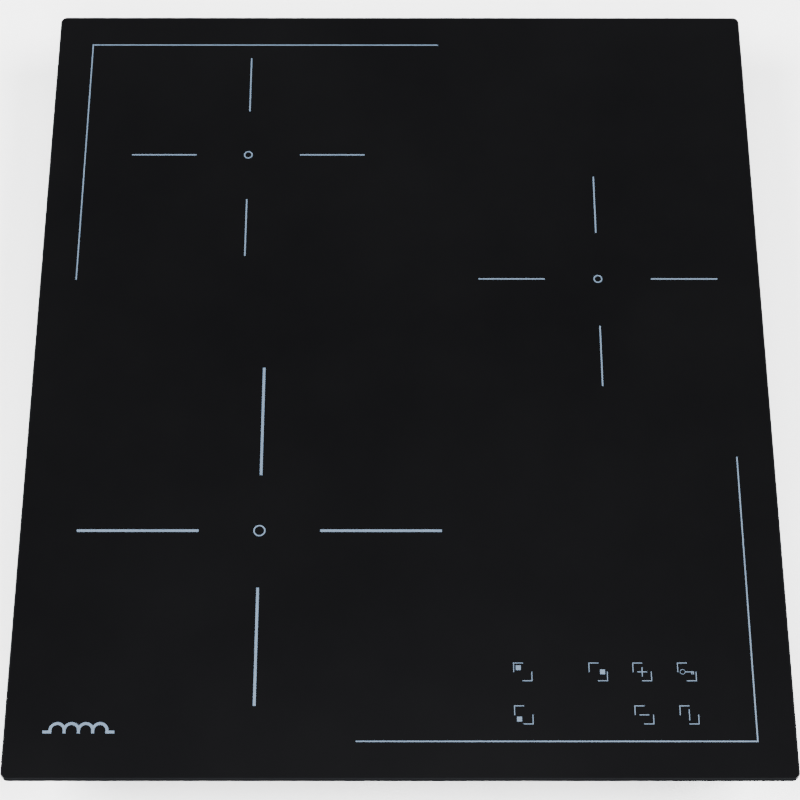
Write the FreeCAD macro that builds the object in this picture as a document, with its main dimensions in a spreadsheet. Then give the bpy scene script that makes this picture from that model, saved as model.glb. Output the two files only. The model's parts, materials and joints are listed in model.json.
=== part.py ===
import FreeCAD, Part
import math
import os
import re
import Sketcher

# A built-in induction hob with three zones: glass plate, steel base tray, sprung coils, power electronics,
# touch control, fan and terminal box.
# Origin: centre of the tray's underside. +X is the user's right, +Y the rear, +Z up. Millimetres.

DRIVING_SIZES = (
    # glass plate, its edge and the printed enamel sunk flush into its top
    ("glass_width", 450), ("glass_depth", 520), ("glass_thick", 4), ("glass_corner", 4),
    ("glass_edge_top", 0.5), ("glass_edge_under", 0.5), ("glass_under", 54), ("print_depth", 0.1),
    # cooking zones: centre, overall length of the printed cross, length and width of an arm
    ("left_zone_x", -83.25), ("left_zone_y", -108.95),
    ("rear_zone_x", -97.6), ("rear_zone_y", 152.6),
    ("right_zone_x", 123.75), ("right_zone_y", 61.4),
    ("big_cross", 216), ("big_arm", 72), ("big_line", 1.6), ("big_ring", 3.2),
    ("small_cross", 149.5), ("small_arm", 41.5), ("small_line", 0.9), ("small_ring", 2.4),
    ("ring_line", 0.8),
    # printed corner lines
    ("corner_x", 202.9), ("corner_y", 238.3), ("corner_long", 228), ("corner_short", 177.5),
    ("corner_line", 0.8),
    # touch keys: cell centres, cell size, bracket leg and stroke, symbol sizes
    ("column_one", 70.4), ("column_two", 113.75), ("column_three", 139), ("column_four", 164.7),
    ("row_rear", -196.6), ("row_front", -222.3), ("cell_width", 10.9), ("cell_depth", 11.2),
    ("bracket_leg", 5.75), ("key_stroke", 0.5), ("key_square", 2.9), ("square_shift", 2.5),
    ("sign_size", 5.6), ("bar_length", 6.5), ("lock_length", 8), ("lock_ring", 1.55), ("lock_tooth", 1.2),
    # badge: a row of coil humps
    ("badge_x", -182.5), ("badge_y", -231.5), ("hump_radius", 4.9), ("hump_leg", 1.8), ("badge_line", 1.7),
    ("badge_lead", 4.2),
    # worktop cut-out, seal, silicone bead, glass frame
    ("seal_inset", 2), ("seal_width", 6), ("seal_thick", 2.5),
    ("bead_thick", 0.8), ("bead_width", 10), ("bead_inset", 2),
    ("frame_gauge", 1.2), ("frame_flange", 12), ("frame_leg", 12), ("frame_gap", 0.2),
    # base tray
    ("tray_width", 424), ("tray_depth", 482), ("tray_height", 52), ("tray_gauge", 0.8),
    ("tray_corner", 8), ("tray_bend", 3),
    ("intake_slot_width", 3.4), ("intake_slot_pitch", 7), ("intake_radius", 34),
    ("outlet_slot_width", 3.6), ("outlet_slot_height", 13), ("outlet_slot_pitch", 9), ("outlet_slot_low", 27),
    ("outlet_bank", 99), ("outlet_slot_count", 15),
    # shallow beads pressed into the tray's floor, seen from below
    ("bead_groove", 0.35), ("bead_radius", 5), ("front_bead_y", -204), ("front_bead_left", -182),
    ("front_bead_right", 8), ("side_bead_x", 172), ("side_bead_front", -140), ("side_bead_rear", 112),
    ("rear_bead_y", 168), ("rear_bead_left", -26), ("rear_bead_right", 88), ("rear_bead_pitch", 26),
    # screws
    ("screw_head", 3.5), ("head_thick", 2), ("screw_radius", 2), ("screw_length", 7), ("hole_slack", 0.1),
    ("frame_screw_level", 46), ("side_screw_place", 190), ("end_screw_place", 100),
    # worktop spring clips
    ("clip_place", 130), ("clip_width", 18), ("foot_gauge", 1), ("foot_low", 8), ("foot_high", 20),
    ("clip_screw_level", 13), ("leaf_gauge", 0.8), ("leaf_gap", 0.15), ("leaf_offset", 0.6),
    ("leaf_bulge", 6.8), ("leaf_bulge_level", 41), ("leaf_tip", 5.8), ("leaf_tip_level", 45),
    # rating plate
    ("rating_length", 90), ("rating_height", 30), ("rating_thick", 0.3), ("rating_low", 10),
    ("rating_place", -10),
    # coil carrier plate and its posts
    ("plate_width", 410), ("plate_depth", 458), ("plate_gauge", 1.5), ("plate_under", 36),
    ("plate_shift", 3), ("notch_width", 166), ("notch_depth", 50), ("lead_hole", 15), ("post_radius", 4.5),
    ("post_side", 197), ("post_rear", 222), ("post_front", 214), ("post_flank", 150), ("post_inner", 90),
    ("post_notch", 24), ("post_middle", 60),
    # coils
    ("coil_inner", 28), ("big_coil", 94), ("small_coil", 66), ("wire_radius", 1.85), ("wire_pitch", 4),
    ("turn_groove", 0.6),
    ("coil_centre_level", 51.2), ("mica_thick", 0.8), ("mica_margin", 2), ("mica_hole", 12),
    ("former_under", 47.2), ("former_thick", 2), ("former_margin", 2), ("hub_outer", 22), ("hub_inner", 12),
    ("ferrite_thick", 4), ("ferrite_width", 12), ("ferrite_inner", 30), ("ferrite_margin", 6),
    ("sensor_radius", 5), ("sensor_gap", 1), ("sensor_flange", 14), ("flange_thick", 1.5),
    ("spring_radius", 4.5), ("spring_wire", 0.5), ("spring_turns", 4), ("big_spring_place", 62),
    ("small_spring_place", 48),
    # boards
    ("board_thick", 1.6), ("board_under", 8.8), ("board_tray_thick", 2),
    ("power_board_x", -105), ("power_board_y", -70), ("power_board_width", 190), ("power_board_depth", 230),
    ("supply_board_x", 85), ("supply_board_y", 40), ("supply_board_width", 130), ("supply_board_depth", 180),
    ("board_screw_inset", 7), ("bridge_depth", 60), ("standoff_radius", 4.5),
    # heat sink and the parts on the boards
    ("sink_x", -156), ("sink_y", -45), ("sink_width", 46), ("sink_length", 150), ("sink_height", 24),
    ("sink_spine", 4), ("fin_thick", 1.6), ("fin_pitch", 4.48), ("fin_count", 6),
    ("device_width", 16), ("device_thick", 5), ("device_height", 20), ("device_pitch", 25.6),
    ("device_lead", 3), ("lead_thick", 1), ("lead_width", 1.4), ("lead_pitch", 5),
    ("film_width", 32), ("film_depth", 15), ("film_height", 22), ("film_x", -96), ("film_pitch", 35),
    ("bus_width", 42), ("bus_depth", 22), ("bus_height", 24), ("bus_x", -45),
    ("lytic_radius", 8), ("lytic_height", 22), ("lytic_x", 60), ("lytic_y", -15), ("lytic_pitch", 20),
    ("choke_x", 60), ("choke_y", 95), ("choke_radius", 15), ("choke_section", 5), ("winding_wall", 1.6),
    ("winding_gap", 30),
    ("transformer_x", 62), ("transformer_y", 40), ("transformer_width", 28), ("transformer_height", 20),
    ("bobbin_margin", 3), ("relay_width", 20), ("relay_depth", 16), ("relay_height", 20), ("relay_x", 125),
    ("relay_y", 45), ("relay_pitch", 25),
    # fan
    ("fan_x", -110), ("fan_y", 120), ("scroll_radius", 46), ("scroll_step", 4), ("scroll_wall", 1.6),
    ("scroll_mouth", 70), ("scroll_height", 30), ("fan_roof", 2), ("tongue_angle", 230),
    ("fan_foot", 7), ("fan_foot_thick", 3),
    ("impeller_radius", 41), ("blade_depth", 10), ("blade_thick", 1.2), ("blade_count", 28),
    ("blade_inset", 0.2), ("impeller_low", 4), ("impeller_high", 25), ("disc_thick", 1.5),
    ("hub_radius", 18), ("hub_wall", 2), ("hub_low", 10),
    ("shaft_radius", 2), ("shaft_slack", 0.05), ("stator_radius", 14), ("stator_low", 14),
    # control unit
    ("control_x", 118), ("control_y", -205), ("control_width", 144), ("control_depth", 52),
    ("control_under", 38), ("control_wall", 2), ("control_rim", 8), ("control_board_under", 42),
    ("control_board_gap", 0.5),
    ("leg_width", 6), ("touch_radius", 4.4), ("touch_wire", 0.5), ("touch_turns", 4),
    ("display_width", 8), ("display_depth", 12), ("display_height", 8), ("display_gap", 3.5),
    # terminal box in the rear wall
    ("terminal_x", 150), ("terminal_width", 92), ("terminal_deep", 44), ("terminal_wall", 2),
    ("terminal_high", 34), ("window_x", 162), ("window_width", 60), ("window_low", 6), ("window_high", 39.5),
    ("block_width", 54), ("block_deep", 18), ("block_high", 16), ("block_set_back", 16), ("pole_pitch", 9),
    ("pole_screw_level", 11.5), ("pole_bore", 8),
    ("pin_level", 36), ("pin_stand_off", 2), ("pin_radius", 1), ("ear_radius", 1.9), ("ear_thick", 2),
    ("barrel_radius", 1.75), ("cover_thick", 1.6), ("cover_width", 66), ("cover_low", 3), ("cover_high", 33),
    ("cover_gap", 0.3), ("neck_overlap", 0.2), ("pin_recess", 0.2),
    ("inlet_x", 118), ("inlet_level", 18), ("inlet_bore", 6), ("inlet_neck", 9.4),
    ("inlet_flange", 11), ("inlet_outer", 3), ("inlet_inner", 2),
)

doc = FreeCAD.newDocument("induction_hob")
sheet = doc.addObject("Spreadsheet::Sheet", "Sizes")
for row, (alias, number) in enumerate(DRIVING_SIZES, 1):
    sheet.set(f"A{row}", alias)
    sheet.set(f"B{row}", str(number))
    sheet.setAlias(f"B{row}", alias)
doc.recompute()

TOUCHING = 0.01   # two levels this close are the same
WIRE_SIDES = 8
ALIASES = {alias for alias, number in DRIVING_SIZES}
NODES = []


def cells(formula):
    """A formula in size names, written out as a formula in spreadsheet cells."""
    return re.sub(r"[a-z_]+", lambda word: ("Sizes." if word[0] in ALIASES else "") + word[0], str(formula))


def size(alias):
    return float(sheet.get(alias))


def bind(target, **formulas):
    for prop, formula in formulas.items():
        target.setExpression(prop, cells(formula))
    return target


def place(target, x="0", y="0", z="0"):
    for letter, formula in zip("xyz", (x, y, z)):
        target.setExpression("Placement.Base." + letter, cells(formula))
    return target


def node(label, thing):
    """Marks a finished sub-part, which is written to its own file."""
    thing.Label = label
    NODES.append(thing)
    return thing


# ---- Part primitives and booleans ------------------------------------------------------------

TURNS = {
    "+Z": FreeCAD.Rotation(),
    "-Z": FreeCAD.Rotation(FreeCAD.Vector(1, 0, 0), 180),
    "+X": FreeCAD.Rotation(FreeCAD.Vector(0, 1, 0), 90),
    "-X": FreeCAD.Rotation(FreeCAD.Vector(0, 1, 0), -90),
    "+Y": FreeCAD.Rotation(FreeCAD.Vector(1, 0, 0), -90),
    "-Y": FreeCAD.Rotation(FreeCAD.Vector(1, 0, 0), 90),
}


def box(width, depth, height, x="0", y="0", z="0", name="block"):
    """A block centred on x and y, standing on z."""
    block = bind(doc.addObject("Part::Box", name), Length=width, Width=depth, Height=height)
    return place(block, f"({x}) - ({width}) / 2", f"({y}) - ({depth}) / 2", z)


def cylinder(radius, height, x="0", y="0", z="0", along="+Z", name="round"):
    """A cylinder that starts at the point and runs along the given direction."""
    rod = bind(doc.addObject("Part::Cylinder", name), Radius=radius, Height=height)
    rod.Placement = FreeCAD.Placement(FreeCAD.Vector(), TURNS[along])
    return place(rod, x, y, z)


def fuse(pieces, name="union"):
    joined = doc.addObject("Part::MultiFuse", name)
    joined.Shapes = pieces
    return joined


def group(pieces, name="group"):
    """Separate solids kept side by side."""
    together = doc.addObject("Part::Compound", name)
    together.Links = pieces
    return together


def cut(base, tools, name="difference"):
    rest = doc.addObject("Part::Cut", name)
    rest.Base = base
    rest.Tool = tools[0] if len(tools) == 1 else fuse(tools)
    return rest


def tube(outer, inner, height, x="0", y="0", z="0", along="+Z"):
    return cut(cylinder(outer, height, x, y, z, along), [cylinder(inner, height, x, y, z, along)], "tube")


def screw(x, y, z, into):
    """A pan-head screw whose head rests on the point; `into` is the way its shank runs."""
    out = ("-" if into[0] == "+" else "+") + into[1]
    head = cylinder("screw_head", "head_thick", x, y, z, out)
    shank = cylinder("screw_radius", "screw_length", x, y, z, into)
    return fuse([head, shank], "screw")


def shape_node(label, shape):
    """A sub-part whose outline no primitive or sketch feature gives directly."""
    thing = doc.addObject("Part::Feature", label)
    thing.Shape = shape
    thing.Placement = FreeCAD.Placement()
    return node(label, thing)


# ---- PartDesign bodies -----------------------------------------------------------------------

def new_body(name, x="0", y="0", z="0"):
    return place(doc.addObject("PartDesign::Body", name), x, y, z)


def new_sketch(body, level="0", plane="XY_Plane"):
    sketch = body.newObject("Sketcher::SketchObject", "outline")
    sketch.AttachmentSupport = [(feature, "") for feature in body.Origin.OriginFeatures
                                if feature.Role == plane]
    sketch.MapMode = "FlatFace"
    sketch.setExpression("AttachmentOffset.Base.z", cells(level))
    return sketch


def measure(sketch, kind, formula, *points):
    """A sketch dimension bound to the sheet."""
    index = sketch.addConstraint(Sketcher.Constraint(kind, *points, 1.0))
    sketch.setExpression(f"Constraints[{index}]", cells(formula))


def add_polygon(sketch, corners):
    """A closed outline; each corner is a pair of formulas, and each is dimensioned from the origin."""
    first = sketch.GeometryCount
    count = len(corners)
    for step in range(count):
        start, end = step, (step + 1) % count
        turn = 2 * math.pi / count
        sketch.addGeometry(Part.LineSegment(
            FreeCAD.Vector(math.cos(start * turn) * 9, math.sin(start * turn) * 9, 0),
            FreeCAD.Vector(math.cos(end * turn) * 9, math.sin(end * turn) * 9, 0)))
    for step in range(count):
        following = first + (step + 1) % count
        sketch.addConstraint(Sketcher.Constraint("Coincident", first + step, 2, following, 1))
    for step, (x, y) in enumerate(corners):
        measure(sketch, "DistanceX", x, -1, 1, first + step, 1)
        measure(sketch, "DistanceY", y, -1, 1, first + step, 1)


def add_rectangle(sketch, width, depth, x="0", y="0"):
    left, right = f"({x}) - ({width}) / 2", f"({x}) + ({width}) / 2"
    front, rear = f"({y}) - ({depth}) / 2", f"({y}) + ({depth}) / 2"
    add_polygon(sketch, ((left, front), (right, front), (right, rear), (left, rear)))


def add_circle(sketch, radius, x="0", y="0"):
    index = sketch.addGeometry(Part.Circle(FreeCAD.Vector(1, 1, 0), FreeCAD.Vector(0, 0, 1), 1))
    measure(sketch, "DistanceX", x, -1, 1, index, 3)
    measure(sketch, "DistanceY", y, -1, 1, index, 3)
    radius_index = sketch.addConstraint(Sketcher.Constraint("Radius", index, 1.0))
    sketch.setExpression(f"Constraints[{radius_index}]", cells(radius))


def pad(body, sketch, length):
    feature = body.newObject("PartDesign::Pad", "pad")
    feature.Profile = sketch
    bind(feature, Length=length)
    sketch.Visibility = False
    return feature


def pocket_through(body, sketch):
    """Cuts the sketch through the whole body, both ways."""
    feature = body.newObject("PartDesign::Pocket", "pocket")
    feature.Profile = sketch
    feature.Type = "ThroughAll"
    feature.Midplane = True
    return feature


def pocket_up(body, sketch, length):
    """Cuts upward from the sketch's plane."""
    feature = body.newObject("PartDesign::Pocket", "pocket")
    feature.Profile = sketch
    feature.Reversed = True
    bind(feature, Length=length)
    return feature


def edges_where(feature, chosen):
    doc.recompute()
    return (feature, [f"Edge{number}" for number, edge in enumerate(feature.Shape.Edges, 1) if chosen(edge)])


def upright(edge):
    return edge.Curve.TypeId == "Part::GeomLine" and abs(edge.tangentAt(edge.FirstParameter).z) > 0.99


def lying_at(level):
    return lambda edge: edge.BoundBox.ZLength < 0.01 and abs(edge.BoundBox.ZMin - level) < 0.01


def fillet(body, feature, chosen, radius):
    rounding = body.newObject("PartDesign::Fillet", "rounding")
    rounding.Base = edges_where(feature, chosen)
    return bind(rounding, Radius=radius)


def rounded_plate(body, width, depth, thick, corner, level="0"):
    sketch = new_sketch(body, level)
    add_rectangle(sketch, width, depth)
    return fillet(body, pad(body, sketch, thick), upright, corner)


def polar_pattern(body, feature, count):
    pattern = body.newObject("PartDesign::PolarPattern", "pattern")
    pattern.Originals = [feature]
    axis = [item for item in body.Origin.OriginFeatures if item.Role == "Z_Axis"][0]
    pattern.Axis = (axis, [""])
    pattern.Angle = 360
    bind(pattern, Occurrences=count)
    body.Tip = pattern
    return pattern


# ---- printed enamel --------------------------------------------------------------------------

PRINT_LEVEL = "glass_under + glass_thick - print_depth"


def printed(width, depth, x, y):
    return box(width, depth, "print_depth", x, y, PRINT_LEVEL, "print")


def printed_ring(radius, stroke, x, y):
    return tube(f"({radius}) + ({stroke}) / 2", f"({radius}) - ({stroke}) / 2", "print_depth", x, y,
                PRINT_LEVEL)


ZONES = {
    "front_left": ("left_zone_x", "left_zone_y", "big"),
    "rear_left": ("rear_zone_x", "rear_zone_y", "small"),
    "right": ("right_zone_x", "right_zone_y", "small"),
}


def make_zone_prints():
    """A cross of four arms and a small centre ring for each cooking zone."""
    marks = []
    for x, y, grade in ZONES.values():
        reach = f"({grade}_cross - {grade}_arm) / 2"
        arm, line = f"{grade}_arm", f"{grade}_line"
        for sign in ("-", "+"):
            marks.append(printed(arm, line, f"{x} {sign} {reach}", y))
            marks.append(printed(line, arm, x, f"{y} {sign} {reach}"))
        marks.append(printed_ring(f"{grade}_ring", "ring_line", x, y))
    return node("print_zones", group(marks))


def make_corner_lines():
    """Two long angles, at the rear left and the front right, each the other's point mirror."""
    angles = []
    for side, other in (("-", "+"), ("+", "-")):
        outer_x, outer_y = f"{side}corner_x", f"{other}corner_y"
        long_arm = printed("corner_long", "corner_line", f"{outer_x} {other} corner_long / 2",
                           f"{outer_y} {side} corner_line / 2")
        short_arm = printed("corner_line", "corner_short", f"{outer_x} {other} corner_line / 2",
                            f"{outer_y} {side} corner_short / 2")
        angles.append(fuse([long_arm, short_arm]))
    return node("print_corner_lines", group(angles))


KEYS = (
    ("column_one", "row_rear", "zone rear left"), ("column_two", "row_rear", "zone right"),
    ("column_three", "row_rear", "plus"), ("column_four", "row_rear", "lock"),
    ("column_one", "row_front", "zone front left"), ("column_three", "row_front", "minus"),
    ("column_four", "row_front", "power"),
)


def bracket(x, y, side, other):
    """One corner bracket of a key; its corner is on the given sides of the cell."""
    corner_x, corner_y = f"{x} {side} cell_width / 2", f"{y} {other} cell_depth / 2"
    back_x = "+" if side == "-" else "-"
    back_y = "+" if other == "-" else "-"
    leg_x = printed("bracket_leg", "key_stroke", f"{corner_x} {back_x} bracket_leg / 2",
                    f"{corner_y} {back_y} key_stroke / 2")
    leg_y = printed("key_stroke", "bracket_leg", f"{corner_x} {back_x} key_stroke / 2",
                    f"{corner_y} {back_y} bracket_leg / 2")
    return fuse([leg_x, leg_y])


def lock_symbol(x, y):
    """A small door key: bow ring, shaft and two teeth."""
    ring_x = f"{x} - lock_length / 2 + lock_ring"
    shaft_start = f"{ring_x} + lock_ring - key_stroke / 2"
    shaft_length = "lock_length - 2 * lock_ring + key_stroke / 2"
    ring = printed_ring("lock_ring - key_stroke / 4", "key_stroke / 2", ring_x, y)
    shaft = printed(shaft_length, "key_stroke", f"{shaft_start} + ({shaft_length}) / 2", y)
    teeth = [printed("key_stroke", "lock_tooth + key_stroke", f"{x} + lock_length / 2 - key_stroke * {step}",
                     f"{y} - lock_tooth / 2") for step in (0.5, 2.5)]
    return fuse([ring, shaft] + teeth)


def key_symbol(x, y, meaning):
    if meaning == "zone rear left":
        return printed("key_square", "key_square", f"{x} - square_shift", f"{y} + square_shift")
    if meaning == "zone right":
        return printed("key_square", "key_square", f"{x} + square_shift", y)
    if meaning == "zone front left":
        return printed("key_square", "key_square", f"{x} - square_shift", f"{y} - square_shift")
    if meaning == "plus":
        return fuse([printed("sign_size", "key_stroke", x, y), printed("key_stroke", "sign_size", x, y)])
    if meaning == "minus":
        return printed("sign_size", "key_stroke", x, y)
    if meaning == "power":
        return printed("key_stroke", "bar_length", x, y)
    return lock_symbol(x, y)


def make_key_prints():
    marks = []
    for x, y, meaning in KEYS:
        marks += [bracket(x, y, "-", "+"), bracket(x, y, "+", "-"), key_symbol(x, y, meaning)]
    return node("print_touch_keys", group(marks))


def make_badge():
    """A plain coil sign: four round humps on short legs in a row, with a lead at each end."""
    pitch = "(2 * hump_radius - badge_line)"
    pieces = []
    for step in (-1.5, -0.5, 0.5, 1.5):
        x = f"badge_x + {step} * {pitch}"
        half = cylinder("hump_radius", "print_depth", x, "badge_y", PRINT_LEVEL)
        half.Angle = 180
        hole = cylinder("hump_radius - badge_line", "print_depth", x, "badge_y", PRINT_LEVEL)
        pieces.append(cut(half, [hole]))
    for step in (-2, -1, 0, 1, 2):
        pieces.append(printed("badge_line", "hump_leg", f"badge_x + {step} * {pitch}",
                              "badge_y - hump_leg / 2"))
    for side in ("-", "+"):
        pieces.append(printed("badge_lead", "badge_line",
                              f"badge_x {side} (2 * {pitch} + badge_lead / 2)",
                              "badge_y - hump_leg + badge_line / 2"))
    return node("print_badge", fuse(pieces))


# ---- glass, seal, bead and frame -------------------------------------------------------------

def make_glass(prints):
    blank = new_body("glass_blank", z="glass_under")
    plate = rounded_plate(blank, "glass_width", "glass_depth", "glass_thick", "glass_corner")
    top = fillet(blank, plate, lying_at(size("glass_thick")), "glass_edge_top")
    fillet(blank, top, lying_at(0), "glass_edge_under")
    pits = group(prints)
    glass = doc.addObject("Part::Cut", "glass")
    glass.Base = blank
    glass.Tool = pits
    return node("glass_plate", glass)


def ring_body(label, width, depth, band, thick, level, corner):
    """A flat rectangular ring with rounded outer corners."""
    body = new_body(label, z=level)
    rounded_plate(body, width, depth, thick, corner)
    hole = new_sketch(body)
    add_rectangle(hole, f"{width} - 2 * {band}", f"{depth} - 2 * {band}")
    pocket_through(body, hole)
    return body


FRAME_WIDTH = "(tray_width - 2 * tray_gauge - 2 * frame_gap)"
FRAME_DEPTH = "(tray_depth - 2 * tray_gauge - 2 * frame_gap)"


def make_seal():
    return node("worktop_seal", ring_body(
        "seal", "(glass_width - 2 * seal_inset)", "(glass_depth - 2 * seal_inset)", "seal_width",
        "seal_thick", "glass_under - seal_thick", "glass_corner"))


def make_bead():
    return node("silicone_bead", ring_body(
        "bead", f"({FRAME_WIDTH} - 2 * bead_inset)", f"({FRAME_DEPTH} - 2 * bead_inset)", "bead_width",
        "bead_thick", "glass_under - bead_thick", "tray_corner"))


def wall_points():
    """The screws through the tray's walls: x, y and the way each shank runs."""
    half_width, half_depth = "tray_width / 2", "tray_depth / 2"
    points = []
    for sign in ("-", "+"):
        points += [(f"-{half_width}", f"{sign}side_screw_place", "+X"),
                   (half_width, f"{sign}side_screw_place", "-X"),
                   (f"{sign}end_screw_place", f"-{half_depth}", "+Y"),
                   (f"{sign}end_screw_place", half_depth, "-Y")]
    return points


CLIPS = {
    "front_left": ("-", "-"), "front_right": ("+", "-"), "rear_left": ("-", "+"), "rear_right": ("+", "+"),
}


def inward(side):
    return "+X" if side == "-" else "-X"


def screw_holes():
    """Clearance holes for the frame screws and the clip screws."""
    radius, length = "screw_radius + hole_slack", "screw_length"
    holes = [cylinder(radius, length, x, y, "frame_screw_level", into) for x, y, into in wall_points()]
    for side, end in CLIPS.values():
        holes.append(cylinder(radius, length, f"{side}tray_width / 2", f"{end}clip_place",
                              "clip_screw_level", inward(side)))
    return holes


def make_frame():
    """An angle-section ring: a flange under the glass and a leg down inside the tray's wall."""
    body = new_body("frame", z="glass_under - bead_thick - frame_leg")
    rounded_plate(body, FRAME_WIDTH, FRAME_DEPTH, "frame_leg", "tray_corner - tray_gauge")
    core = new_sketch(body)
    add_rectangle(core, f"{FRAME_WIDTH} - 2 * frame_gauge", f"{FRAME_DEPTH} - 2 * frame_gauge")
    pocket_up(body, core, "frame_leg - frame_gauge")
    hole = new_sketch(body)
    add_rectangle(hole, f"{FRAME_WIDTH} - 2 * frame_flange", f"{FRAME_DEPTH} - 2 * frame_flange")
    pocket_through(body, hole)
    return node("glass_frame", cut(body, [group(screw_holes())]))


# ---- base tray -------------------------------------------------------------------------------

def intake_slots():
    """Parallel slots in the floor under the fan, cut to a round grille."""
    count = int(2 * size("intake_radius") / size("intake_slot_pitch"))
    bars = []
    for step in range(-(count // 2), count // 2 + 1):
        offset = step * size("intake_slot_pitch")
        reach = 2 * math.sqrt(size("intake_radius") ** 2 - offset ** 2)
        bars.append(box("intake_slot_width", reach, "3 * tray_gauge", f"fan_x + {step} * intake_slot_pitch",
                        "fan_y", "-tray_gauge"))
    return bars


def outlet_slots():
    """Upright slots in the front wall, where the warm air leaves, in two banks."""
    half = int(size("outlet_slot_count")) // 2
    return [box("outlet_slot_width", "6 * tray_gauge", "outlet_slot_height",
                f"{side}outlet_bank + {step} * outlet_slot_pitch", "-tray_depth / 2", "outlet_slot_low")
            for side in ("-", "+") for step in range(-half, half + 1)]


def floor_beads():
    """Round-ended grooves in the underside of the floor, where no part stands on it."""
    runs = [("front_bead_left", "front_bead_right", "front_bead_y"),
            ("rear_bead_left", "rear_bead_right", "rear_bead_y"),
            ("rear_bead_left", "rear_bead_right", "rear_bead_y + rear_bead_pitch")]
    grooves = []
    for left, right, y in runs:
        bar = box(f"{right} - ({left})", "2 * bead_radius", "bead_groove", f"({left} + {right}) / 2", y, "0")
        ends = [cylinder("bead_radius", "bead_groove", x, y, "0") for x in (left, right)]
        grooves.append(fuse([bar] + ends))
    bar = box("2 * bead_radius", "side_bead_rear - side_bead_front", "bead_groove", "side_bead_x",
              "(side_bead_front + side_bead_rear) / 2", "0")
    ends = [cylinder("bead_radius", "bead_groove", "side_bead_x", y, "0")
            for y in ("side_bead_front", "side_bead_rear")]
    grooves.append(fuse([bar] + ends))
    return grooves


def make_tray():
    body = new_body("tray_shell")
    block = rounded_plate(body, "tray_width", "tray_depth", "tray_height", "tray_corner")
    bent = fillet(body, block, lying_at(0), "tray_bend")
    doc.recompute()
    shell = body.newObject("PartDesign::Thickness", "walls")
    shell.Base = (bent, [f"Face{number}" for number, face in enumerate(bent.Shape.Faces, 1)
                         if face.CenterOfMass.z > size("tray_height") - TOUCHING])
    shell.Reversed = True
    shell.Join = 0
    bind(shell, Value="tray_gauge")
    window = box("window_width", "6 * tray_gauge", "window_high - window_low", "window_x", "tray_depth / 2",
                 "window_low")
    inlet = cylinder("inlet_neck + hole_slack", "6 * tray_gauge", "inlet_x",
                     "tray_depth / 2 - 3 * tray_gauge", "inlet_level", "+Y")
    tools = group(intake_slots() + outlet_slots() + screw_holes() + floor_holes() + floor_beads()
                  + [window, inlet])
    return node("base_tray", cut(body, [tools]))


def make_casing_screws():
    screws = [screw(x, y, "frame_screw_level", into) for x, y, into in wall_points()]
    for side, end in CLIPS.values():
        screws.append(screw(f"{side}(tray_width / 2 + foot_gauge)", f"{end}clip_place", "clip_screw_level",
                            inward(side)))
    return node("casing_screws", group(screws))


# ---- worktop spring clips --------------------------------------------------------------------

def make_clips():
    feet = []
    for label, (side, end) in CLIPS.items():
        y = f"{end}clip_place"
        foot = box("foot_gauge", "clip_width", "foot_high - foot_low",
                   f"{side}(tray_width / 2 + foot_gauge / 2)", y, "foot_low")
        hole = cylinder("screw_radius + hole_slack", "screw_length",
                        f"{side}(tray_width / 2 + 2 * foot_gauge)", y, "clip_screw_level", inward(side))
        feet.append(cut(foot, [hole]))
        node("clip_leaf_" + label, leaf_body(side, y))
    return node("clip_feet", group(feet))


def leaf_body(side, y):
    """A bent spring strip: out to its bulge, then back in to its tip."""
    body = new_body("leaf", x=f"{side}tray_width / 2", y=f"{y} - clip_width / 2")
    sketch = new_sketch(body, plane="XZ_Plane")
    half = "leaf_gauge / 2"
    low = "foot_high + leaf_gap"
    outline = (
        (f"leaf_offset - {half}", low), (f"leaf_offset + {half}", low),
        (f"leaf_bulge + {half}", "leaf_bulge_level"), (f"leaf_tip + {half}", "leaf_tip_level"),
        (f"leaf_tip - {half}", "leaf_tip_level"), (f"leaf_bulge - {half}", "leaf_bulge_level"),
    )
    add_polygon(sketch, [(f"{side}({across})", up) for across, up in outline])
    strip = pad(body, sketch, "clip_width")
    strip.Reversed = True
    return body


def make_rating_plate():
    return node("rating_plate", box(
        "rating_thick", "rating_length", "rating_height", "-(tray_width + rating_thick) / 2", "rating_place",
        "rating_low"))


# ---- coil carrier plate ----------------------------------------------------------------------

POSTS = (
    ("-post_side", "post_rear"), ("post_inner", "post_rear"), ("-post_side", "-post_front"),
    ("post_notch", "-post_front"), ("post_side", "-post_flank"), ("post_side", "post_flank"),
    ("-post_side", "post_middle"),
)


def floor_holes():
    """Holes in the tray's floor for the snap studs under the fan case's feet."""
    return [cylinder("screw_radius + hole_slack", "3 * tray_gauge", f"fan_x + {foot.x}", f"fan_y + {foot.y}",
                     "-tray_gauge") for foot in fan_feet()]


def make_coil_plate():
    body = new_body("plate", z="plate_under")
    outline = new_sketch(body)
    right, left = "plate_width / 2", "-plate_width / 2"
    rear, front = "plate_shift + plate_depth / 2", "plate_shift - plate_depth / 2"
    add_polygon(outline, (
        (left, front), (f"{right} - notch_width", front),
        (f"{right} - notch_width", f"{front} + notch_depth"),
        (right, f"{front} + notch_depth"), (right, rear), (left, rear)))
    pad(body, outline, "plate_gauge")
    holes = new_sketch(body)
    for x, y, grade in ZONES.values():
        add_circle(holes, "lead_hole", x, y)
    for x, y in POSTS:
        add_circle(holes, "screw_radius + hole_slack", x, y)
    pocket_through(body, holes)
    return node("coil_plate", body)


def make_posts():
    posts = [tube("post_radius", "screw_radius + hole_slack", "plate_under - tray_gauge", x, y, "tray_gauge")
             for x, y in POSTS]
    return node("plate_posts", group(posts))


# ---- sprung coils ----------------------------------------------------------------------------

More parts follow.
